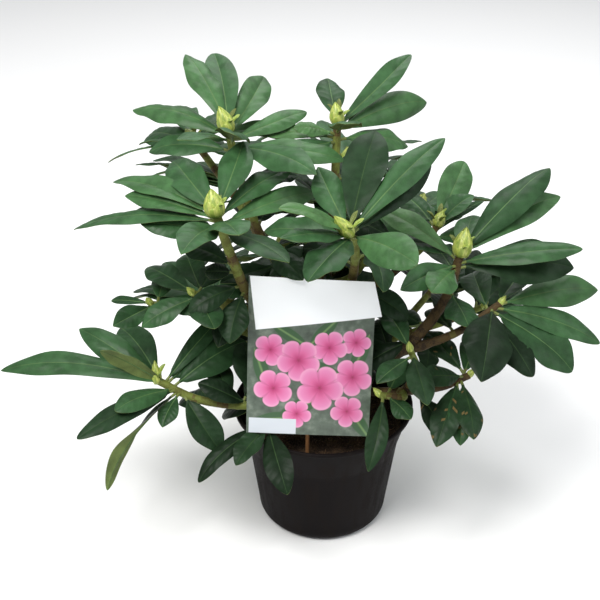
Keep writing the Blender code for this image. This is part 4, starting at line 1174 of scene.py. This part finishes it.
def plan_leaves():
    """Every whorl's leaves, each turned a little or left out where it would touch a neighbour."""
    fixed = [tube_tree(limbs["trunk"].path, TRUNK_RADII), pot_tree(), card_tree()]
    twig_trees = {}
    for name in SHOOTS:
        limb = limbs[name]
        if limb.joint > limb.start:
            fixed.append(tube_tree(*limb.stretch(limb.start, limb.joint)))
        twig_trees[name] = tube_tree(*limb.stretch(limb.joint, limb.length))
    placed = {name: [] for name in SHOOTS}
    trees = {name: [] for name in SHOOTS}
    for name in SHOOTS:
        limb = limbs[name]
        others = fixed + [tree for other, tree in twig_trees.items() if other != name]
        others += [tree for other in SHOOTS if other != name for tree in trees[other]]
        blades = []
        for number, wanted in enumerate(wanted_leaves(name)):
            root, _, _ = limb.at(limb.length - FIRST_LEAF - LEAF_STEP * number)
            leaf, blade = fitted(name, root, limb.path[-1], number, wanted, others, blades)
            if leaf:
                placed[name].append(leaf)
                trees[name].append(leaf_tree(leaf))
                blades.append(blade)
    every_leaf = [tree for group in trees.values() for tree in group]
    stems = fixed + list(twig_trees.values())
    for name in (*OLD_LEAVES, *DEALT_LEAVES):
        limb = limbs[name]
        for number, (below, *wanted) in enumerate(old_leaves(name)):
            if limb.length - below < limb.start + FOOT_ROOM:
                continue
            root, _, radius = limb.at(limb.length - below)
            others = [tree for tree in stems if not tree.find_nearest(root, radius + CLEARANCE)[0]]
            leaf, _ = fitted(name, root, root, f"old {number}", wanted, others + every_leaf, [])
            if leaf:
                placed[name].append(dict(leaf, old=True))
                every_leaf.append(leaf_tree(leaf))
    return placed


FACE_SHARES = (1.0, 0.94, 0.82, 0.64, 0.44, 0.22)  # of the way from midrib to margin
UNDER_SHARES = (0.985, 0.55)
VEINS, ROWS_PER_VEIN = 10, 3
VEIN_SWEEP = 0.15  # how far forward a side vein runs on its way out, of the blade's length
VEIN_DENT, VEIN_PUFF = 0.55, 0.2
ROW_CROWDING = 0.4
STALK_ROWS = 4
STALK_RADII = (1.75, 1.45)
FOLD, CROWN = (0.10, 0.42), (0.16, 0.52)  # slopes of a blade's halves, up from the midrib and down again
MIDRIB_HALF = (0.7, 0.15)
MIDRIB_SINK, GROOVE_WIDTH = 0.55, 1.5
KEEL = 0.9  # how far the midrib stands out below
BLADE_THICK = 0.9
RIPPLE, RIPPLES = 0.17, (1.2, 2.6)  # of the half width at the margin, and how many there are along it
STALK_FLATTENS = 0.07  # share of the blade over which the round stalk turns flat
TWIST, BEND = 0.45, 0.035
TIPS_TURN_DOWN = 0.55
LEAF_BLUNTNESS = (0.6, 0.86)
# Leaf tints from darkest to lightest; the darkest ones are painted shade on leaves deep in the crown.
LEAF_TINTS = (
    (0.008, 0.018, 0.008), (0.013, 0.032, 0.013), (0.019, 0.052, 0.019), (0.029, 0.078, 0.028),
    (0.039, 0.100, 0.034), (0.053, 0.126, 0.041),
)
LEAF_GLOSS = (0.08, 0.22)  # of the darkest and of the lightest tint
LEAF_BELOW, LEAF_STALK = (0.100, 0.138, 0.040), (0.13, 0.16, 0.04)
# The darkest tints get a dim midrib as well: painted shade on the midrib too.
LEAF_RIB, DIM_RIB = (0.062, 0.120, 0.040), (0.024, 0.050, 0.017)
DIM_TINTS = 2  # tints whose midrib is dim too
# Lower whorls are dealt darker tints and higher ones lighter, partly the leaves' own tone and partly painted
# light and shade; older leaves inside the crown get the dark OLD_SHADE, partly painted shade.
SHADE_HEIGHTS = (150.0, 420.0)  # of the whorl, between which its leaves go from dark to light
SHADE_LOW, SHADE_SPAN, OLD_SHADE = 1.1, 2.5, 0.6  # as numbers of a tint
WHORL_STRAY, LEAF_STRAY = 0.5, 0.9  # how far the tint of a whorl and of a leaf strays
# Tints of single leaves by their number in the whorl, some lighter and some darker: partly painted light and
# shade.
TINTS_WITH_PAINTED_LIGHT = {
    "top_left": {1: 4, 8: 4}, "top_right": {0: 2}, "left_front": {2: 4, 5: 3, 9: 2},
    "middle_front": {1: 1, 3: 1, 4: 5, 5: 3, 6: 4, 7: 2},
    "right_front": {0: 2, 1: 4, 3: 5, 5: 3, 6: 1, 7: 4, 14: 2}, "inner_right": {1: 1},
    "far_right": {0: 4, 2: 3, 3: 0, 4: 2, 6: 0}, "over_rim": {0: 1}, "front_low": {0: 0},
    "low_left": {0: 2, 1: 3, 4: 3, 7: 3, 8: 1}, "left_inner": {0: 2, 4: 2},
}
TWISTED_LEAVES = {("low_left", 9): 1.9}
SCORCH = (0.12, 0.085, 0.03)
SCORCHED, SCORCH_SIZE, SCORCH_FROM = ("low_right",), 5.0, 0.5
LEAF_PARTS = (  # colour, roughness, gloss and how deep its grain dents it
    ("leaf below", LEAF_BELOW, 0.62, 0.2, 0.2), ("leaf rib", LEAF_RIB, 0.45, 0.2, 0.1),
    ("dim leaf rib", DIM_RIB, 0.45, 0.1, 0.1), ("leaf stalk", LEAF_STALK, 0.45, 0.3, 0.1),
    ("scorched leaf", SCORCH, 0.8, 0.2, 0.3),
)
LEAF_GROUPS = {
    "leaves_left": (
        "top_left", "left_top_back", "left_front", "low_left", "left_inner", "left_small", "front_low",
    ),
    "leaves_right": (
        "top_right", "middle_front", "right_front", "right_back", "far_right", "low_right", "over_rim",
        "inner_right",
    ),
    "leaves_back": tuple(DEALT_LEAVES),
}
UNDER_SLOT, RIB_SLOT, DIM_RIB_SLOT, STALK_SLOT, SCORCH_SLOT = (len(LEAF_TINTS) + i for i in range(5))


def leaf_finish(name, colour, roughness, gloss, dent):
    """Waxy leaf skin: faintly mottled, with a fine grain that breaks up its shine."""
    finish, wiring, feed, bump = new_finish(name, colour, roughness, Specular_IOR_Level=gloss)
    clouds, grain = wiring.mottle(14), wiring.mottle(0.9)
    dark, light = (tuple(shade * c for c in colour) for shade in (0.72, 1.3))
    feed("Base Color", wiring.mix(wiring.rise(clouds * 0.75 + grain * 0.25, 0.3, 0.7), dark, light))
    feed("Roughness", clouds * 0.16 + (roughness - 0.08))
    bump(grain * 0.4 + wiring.mottle(4, 2), dent, 0.7)
    return finish


def column_places():
    """For each corner of a ring: its share of the way to the margin, and its side of the midrib."""
    over = [-s for s in FACE_SHARES] + [0, 0, 0] + list(FACE_SHARES[::-1])
    over_rib = [-1] * (len(FACE_SHARES) + 1) + [0] + [1] * (len(FACE_SHARES) + 1)
    under = list(UNDER_SHARES) + [0, 0, 0] + [-s for s in UNDER_SHARES[::-1]]
    under_rib = [1] * (len(UNDER_SHARES) + 1) + [0] + [-1] * (len(UNDER_SHARES) + 1)
    return np.array(over + under, float), np.array(over_rib + under_rib, float), len(over)


COLUMN_SHARE, COLUMN_RIB, FACE_COLUMNS = column_places()
RING_TURN = np.concatenate([
    np.pi * (1 - np.arange(FACE_COLUMNS) / (FACE_COLUMNS - 1)),
    -np.pi * np.arange(1, len(COLUMN_SHARE) - FACE_COLUMNS + 1) / (len(COLUMN_SHARE) - FACE_COLUMNS + 1),
])


def leaf_surface(leaf, draw, own_twist=0.0):
    """Corners of a leaf from root to tip, each row a ring over its face and back along its underside."""
    length, half, *axes = leaf_axes(leaf)
    along, side, up = (np.array(axis) for axis in axes)
    stalk = min(STALK, 0.25 * length) / length
    even = np.linspace(0, 1, VEINS * ROWS_PER_VEIN + 1)[:, None]
    base = (1 - ROW_CROWDING) * even + ROW_CROWDING * (1 - np.cos(np.pi * even)) / 2
    out = np.abs(COLUMN_SHARE)[None, :]
    u = base + VEIN_SWEEP * out * np.sin(np.pi * base) ** 0.8
    width = half * np.sin(np.pi * np.clip(u, 0, 1) ** WIDEST) ** draw.uniform(*LEAF_BLUNTNESS)
    width += STALK_RADII[1] * (1 - u) ** 6 + 0.25 * u
    rib = np.minimum(MIDRIB_HALF[0] + (MIDRIB_HALF[1] - MIDRIB_HALF[0]) * u, 0.5 * width)
    y = rib * COLUMN_RIB + (width - rib) * COLUMN_SHARE
    q = np.abs(y) / width
    z = width * (draw.uniform(*FOLD) * q - draw.uniform(*CROWN) * q**2)
    z -= MIDRIB_SINK * np.exp(-((y / GROOVE_WIDTH) ** 2)) * (1 - 0.6 * u)
    on_vein = (np.arange(len(even)) % ROWS_PER_VEIN == 0)[:, None]
    within = np.sin(np.pi * np.clip(out * 0.92 + 0.08, 0, 1)) ** 0.7 * np.sin(np.pi * base)
    z += np.where(on_vein, -VEIN_DENT, VEIN_PUFF) * within * (out > 0)
    wave = 2 * np.pi * (draw.uniform(*RIPPLES) * base + draw.random())
    wave = wave + draw.uniform(1, 2) * (COLUMN_SHARE > 0)
    z += RIPPLE * draw.uniform(0.3, 1.0) * width * q**2 * np.sin(wave) * np.sin(np.pi * base)
    thin = BLADE_THICK * (1 - 0.5 * q) + KEEL * (1 - 0.7 * u) * (np.abs(COLUMN_RIB) < 0.5)
    below = np.arange(len(COLUMN_SHARE)) >= FACE_COLUMNS
    z = z - thin * below
    round_y = STALK_RADII[1] * np.cos(RING_TURN)
    round_z = STALK_RADII[1] * np.sin(RING_TURN)
    flat = np.clip(u / STALK_FLATTENS, 0, 1) ** 1.5
    y, z = round_y * (1 - flat) + y * flat, round_z * (1 - flat) + z * flat
    t = stalk + (1 - stalk) * u
    stalk_share = (np.arange(STALK_ROWS) / STALK_ROWS)[:, None] + 0 * RING_TURN
    stalk_radius = STALK_RADII[0] + (STALK_RADII[1] - STALK_RADII[0]) * stalk_share
    y = np.vstack([stalk_radius * np.cos(RING_TURN), y])
    z = np.vstack([stalk_radius * np.sin(RING_TURN), z])
    t = np.vstack([stalk * stalk_share, t])
    twist = (own_twist or draw.uniform(-TWIST, TWIST)) * np.clip(t - 0.2, 0, 1)
    sway = draw.uniform(-BEND, BEND) * length * np.sin(np.pi * t)
    lift = 4 * leaf["arch"] * length * t * (1 - t)
    lift = lift - TIPS_TURN_DOWN * draw.random() * length * np.clip(t - 0.7, 0, 1) ** 2
    right = y * np.cos(twist) - z * np.sin(twist) + sway
    high = y * np.sin(twist) + z * np.cos(twist) + lift
    spots = np.array(leaf["root"]) + (length * t)[..., None] * along
    return spots + right[..., None] * side + high[..., None] * up


def leaf_faces(rows, tint):
    """Faces of a leaf of this many rows and their slots, with a cap at each end."""
    columns = len(COLUMN_SHARE)
    middle = FACE_COLUMNS // 2
    under_middle = FACE_COLUMNS + len(UNDER_SHARES) + 1
    rib = DIM_RIB_SLOT if tint < DIM_TINTS else RIB_SLOT
    faces, slots = [tuple(range(columns))], [STALK_SLOT]
    for i in range(rows - 1):
        for k in range(columns):
            low, high = i * columns + k, i * columns + (k + 1) % columns
            faces.append((low, low + columns, high + columns, high))
            if i < STALK_ROWS:
                slots.append(STALK_SLOT)
            elif k in (middle - 1, middle):
                slots.append(rib)
            elif k in (under_middle - 1, under_middle):
                slots.append(RIB_SLOT)
            else:
                slots.append(tint if k < FACE_COLUMNS - 1 else UNDER_SLOT)
    faces.append(tuple((rows - 1) * columns + k for k in range(columns - 1, -1, -1)))
    return faces, slots + [UNDER_SLOT]


leaves = plan_leaves()
leaf_finishes = []
for i, tint in enumerate(LEAF_TINTS):
    gloss = LEAF_GLOSS[0] + (LEAF_GLOSS[1] - LEAF_GLOSS[0]) * i / (len(LEAF_TINTS) - 1)
    leaf_finishes.append(leaf_finish(f"leaf {i}", tint, 0.4, gloss, 0.16))
leaf_finishes += [leaf_finish(*part) for part in LEAF_PARTS]
for group, names in LEAF_GROUPS.items():
    batch = Batch()
    for name in names:
        low, high = SHADE_HEIGHTS
        height = min(max((limbs[name].path[-1].z - low) / (high - low), 0.0), 1.0)
        draw = random.Random(f"{name} shade")
        # painted light and shade: higher whorls lighter, lower ones darker
        whorl_shade = SHADE_LOW + SHADE_SPAN * height + draw.uniform(-WHORL_STRAY, WHORL_STRAY)
        for number, leaf in enumerate(leaves[name]):
            draw = random.Random(f"{name} {number} looks")
            # older leaves get a dark tint, partly painted shade
            shade = OLD_SHADE if "old" in leaf else whorl_shade
            tint = min(max(round(shade + draw.uniform(-LEAF_STRAY, LEAF_STRAY)), 0), len(LEAF_TINTS) - 1)
            # tints of single leaves, partly painted light and shade
            tint = TINTS_WITH_PAINTED_LIGHT.get(name, {}).get(number, tint)
            surface = leaf_surface(leaf, draw, TWISTED_LEAVES.get((name, number), 0.0))
            corners = surface.reshape(-1, 3).tolist()
            faces, slots = leaf_faces(surface.shape[0], tint)
            if name in SCORCHED:
                spots = [noise.noise(Vector(corners[face[0]]) / SCORCH_SIZE) > SCORCH_FROM for face in faces]
                slots = [SCORCH_SLOT if slot < UNDER_SLOT and on else slot for slot, on in zip(slots, spots)]
            batch.add(corners, faces, slots)
    whorls = batch.piece(group, leaf_finishes)
    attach(whorls, "root")
    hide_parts(*(f"leaves_{name}" for name in names))


# Buds
# Fat flower buds, 17 to 30 mm high, at the end of the shoots that have one, and slim leaf buds on the
# others. Each is a cone of pale green scales that overlap like tiles.

BUD_UPRIGHT = 0.8  # how strongly it turns up from its twig's own direction
# Flower buds stand on the whorls that show one: height, radius, and how far each leans right and back
BUDS = {
    "top_left": (27, 7.2, -0.45, 0.0), "left_front": (26, 8.4, -0.1, 0.5),
    "top_right": (22, 6.4, -0.3, 0.0), "middle_front": (27, 5.8, -0.9, 0.3),
    "right_back": (18, 5.6, 0.2, 0.0), "right_front": (30, 8.4, 0.0, 0.1),
    "left_top_back": (17, 6.0, -0.5, 0.0), "low_left": (25, 4.6, 0.75, 0.2),
    "back_leader": (25, 8.5, 0.1, 0.0), "back_left": (25, 8.0, 0.1, 0.0),
    "back_right": (26, 8.0, 0.0, 0.0), "top_back": (24, 8.0, 0.2, 0.0),
}
SMALL_BUD = (12, 3.2, 0.0, 0.0)
BUD_PLUMP = 1.02  # of the radius
BUD_SUNK, BRACTS_AT = 0.14, 0.12  # of the height: how deep it sits on its twig, and where bracts leave it
BUD_SCALES, SMALL_BUD_SCALES = 15, 7
SCALE_HALF_TURN, SCALE_HALF_HEIGHT = 0.95, 0.30  # of a scale: in radians, and of the bud's height
SCALE_LOW, SCALE_HIGH = 0.10, 0.74  # middles of the lowest and the topmost scale
SCALE_THICK = 0.09  # of the bud's radius
BUD_TINTS = ((0.28, 0.34, 0.055), (0.20, 0.27, 0.045), (0.35, 0.39, 0.09))
BRACTS, BRACT_RISE, BRACT_LENGTHS = 4, (38, 66), (13, 22)
BRACT_SHAPE = {"arch": 0.08, "roll": 0.0, "breadth": 0.3}


def bud_finish(name, colour):
    """Fresh sticky scale, paler and yellower in streaks."""
    finish, wiring, feed, bump = new_finish(name, colour, 0.45, Coat_Weight=0.15, Coat_Roughness=0.3)
    streaks = wiring.mottle(1.4, 3, wiring.place((1, 1, 0.3)))
    pale = tuple(min(1.0, 1.35 * c) for c in colour)
    feed("Base Color", wiring.mix(wiring.rise(streaks, 0.4, 0.65), colour, pale))
    bump(streaks, 0.15, 0.6)
    return finish


def bud_tree(finishes):
    """Scales dealt up a bud at the golden angle, and a core inside them.

    They are laid out flat, as turn across and height up, and then wrapped round the bud's egg.
    """
    sizes = {"Height": 1.0, "Radius": 1.0, "Scales": BUD_SCALES}
    tree, wiring, given = shape_tree("bud scales", sizes)
    height, radius, count = (given.beside(name) for name in sizes)

    def wrapped(shape, place_on):
        x = wiring.node("ShaderNodeSeparateXYZ", None, (wiring.node("GeometryNodeInputPosition"),), "X")
        y = x.beside("Y")
        share = wiring.node("ShaderNodeClamp", None, (x.beside("Z"), 0.0, 1.0))
        out = wiring.math("MAXIMUM", wiring.math("SINE", (share * 0.88 + 0.12) ** 0.75 * math.pi), 0.0)
        spot = wiring.node("ShaderNodeCombineXYZ", None, place_on(x, y, radius * out**0.8, share * height))
        return wiring.node("GeometryNodeSetPosition", None, {"Geometry": shape, "Position": spot})

    def round_the_egg(angle, inwards, out, up):
        out = out - inwards * radius * SCALE_THICK
        return out * wiring.math("SINE", angle), 0 - out * wiring.math("COSINE", angle), up

    def inside_it(x, y, out, up):
        return x * out * 0.96, y * out * 0.96, up

    ball = {"Segments": 12, "Rings": 8, "Radius": 1.0}
    ball = wiring.node("GeometryNodeMeshUVSphere", None, ball, "Mesh")
    number = wiring.node("GeometryNodeInputIndex")
    share = number / (count - 1)
    up = share * (SCALE_HIGH - SCALE_LOW) + SCALE_LOW
    spot = (number * math.radians(GOLDEN_ANGLE), share * 1.6 - 1.2, up)
    spot = wiring.node("ShaderNodeCombineXYZ", None, spot)
    points = wiring.node("GeometryNodePoints", None, {"Count": count, "Position": spot})
    size = (SCALE_HALF_TURN, 1.0, SCALE_HALF_HEIGHT)
    sockets = {"Points": points, "Instance": ball, "Scale": size}
    scales = wiring.node("GeometryNodeInstanceOnPoints", None, sockets)
    for position, finish in enumerate(finishes):
        sockets = {"Geometry": scales, "Material": finish}
        if position:
            turn_of = wiring.math("MODULO", number, float(len(finishes)))
            sockets["Selection"] = wiring.math("COMPARE", turn_of, float(position), 0.1)
        scales = wiring.node("GeometryNodeSetMaterial", None, sockets)
    scales = wrapped(wiring.node("GeometryNodeRealizeInstances", None, (scales,)), round_the_egg)
    raised = {"Geometry": ball, "Translation": (0, 0, 0.5), "Scale": (1, 1, 0.5)}
    core = wrapped(wiring.node("GeometryNodeTransform", None, raised), inside_it)
    core = wiring.node("GeometryNodeSetMaterial", None, {"Geometry": core, "Material": finishes[0]})
    joined = wiring.node("GeometryNodeJoinGeometry", None, {"Geometry": [core, scales]})
    wiring.node("NodeGroupOutput", None, (joined,))
    return tree


bud_finishes = [bud_finish(f"bud scale {i}", tint) for i, tint in enumerate(BUD_TINTS)]
bud_steps = bud_tree(bud_finishes)
all_buds = bmesh.new()
bracts = Batch()
for name in SHOOTS:
    limb = limbs[name]
    height, radius, right, back = BUDS.get(name, SMALL_BUD)
    scales = BUD_SCALES if name in BUDS else SMALL_BUD_SCALES
    sizes = {"Height": height * MM, "Radius": radius * BUD_PLUMP * MM, "Scales": scales}
    bud = grown(bud_steps, bpy.data.meshes.new("bud"), sizes)
    _, direction, _ = limb.at(limb.length)
    upright = (direction + Vector((right, back, BUD_UPRIGHT))).normalized()
    turn = Vector((0, 0, 1)).rotation_difference(upright).to_matrix().to_4x4()
    foot = limb.path[-1] - BUD_SUNK * height * upright
    bud.transform(Matrix.Translation(foot * MM) @ turn)
    draw = random.Random(f"{name} bracts")
    for i in range(BRACTS if name in BUDS else 0):
        way = heading(GOLDEN_ANGLE * i + draw.uniform(0, 40), draw.uniform(*BRACT_RISE))
        root = foot + BRACTS_AT * height * upright
        tip = root + draw.uniform(*BRACT_LENGTHS) * way
        surface = leaf_surface({"root": root, "tip": tip, **BRACT_SHAPE}, draw)
        faces, _ = leaf_faces(surface.shape[0], 0)
        bracts.add(surface.reshape(-1, 3).tolist(), faces, [i % 2] * len(faces))
    all_buds.from_mesh(bud)
buds = add_piece("buds", mesh_of(all_buds, "buds"), list(bud.materials))
buds.data.shade_smooth()
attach(buds, "root")
bracts = bracts.piece("bud_bracts", [bud_finishes[1], leaf_finishes[STALK_SLOT]])
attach(bracts, "root")


# Studio
# A plain pale floor under soft light from above and from the left, and the camera where the
# photograph was taken from, looking down at the plant at thirty degrees.

FLOOR_HALF = 60000.0
FLOOR_PALE, FLOOR_CLOUD = (0.86, 0.86, 0.86), (0.84, 0.845, 0.85)
CAMERA_SPOT = (-24.84, -981.76, 827.54)
CAMERA_TILT = 60.0
VIEW_ANGLE = 30.0
LIGHTS = (
    # spot, size of the square, power in watts, colour
    ((-700, -900, 2100), 1100, 58, (1.0, 0.985, 0.96)),
    ((1400, -500, 1500), 1200, 12, (0.95, 0.97, 1.0)),
    ((200, 1300, 1900), 1400, 22, (1.0, 1.0, 1.0)),
)
LIGHT_AIM = Vector((0, 0, 250))
WORLD_PALE, WORLD_STRENGTH = (0.97, 0.985, 1.0), 0.5

floor_finish, wiring, feed, _ = new_finish("floor", FLOOR_PALE, 0.8)
feed("Base Color", wiring.mix(wiring.mottle(400, 2), FLOOR_PALE, FLOOR_CLOUD))
floor_mesh = bpy.data.meshes.new("floor")
edge = FLOOR_HALF * MM
floor_corners = [(-edge, -edge, 0), (edge, -edge, 0), (edge, edge, 0), (-edge, edge, 0)]
floor_mesh.from_pydata(floor_corners, [], [(0, 1, 2, 3)])
floor = add_piece("floor", floor_mesh, [floor_finish])
for number, (spot, size, power, colour) in enumerate(LIGHTS):
    lamp = bpy.data.lights.new(f"soft_light_{number}", "AREA")
    lamp.size = size * MM
    lamp.energy = power
    lamp.color = colour
    holder = bpy.data.objects.new(lamp.name, lamp)
    holder.location = Vector(spot) * MM
    holder.rotation_euler = (LIGHT_AIM - Vector(spot)).to_track_quat("-Z", "Y").to_euler()
    bpy.context.scene.collection.objects.link(holder)
world = bpy.data.worlds.new("pale room")
world.use_nodes = True
world.node_tree.nodes["Background"].inputs["Color"].default_value = (*WORLD_PALE, 1)
world.node_tree.nodes["Background"].inputs["Strength"].default_value = WORLD_STRENGTH
bpy.context.scene.world = world
bpy.context.scene.view_settings.view_transform = "Standard"
camera_data = bpy.data.cameras.new("camera")
camera_data.sensor_width = 36.0
camera_data.lens = 18.0 / math.tan(math.radians(VIEW_ANGLE / 2))
camera_data.clip_start, camera_data.clip_end = 0.01, 200.0
camera = bpy.data.objects.new("camera", camera_data)
camera.location = Vector(CAMERA_SPOT) * MM
camera.rotation_euler = (math.radians(CAMERA_TILT), 0, 0)
bpy.context.scene.collection.objects.link(camera)
bpy.context.scene.camera = camera
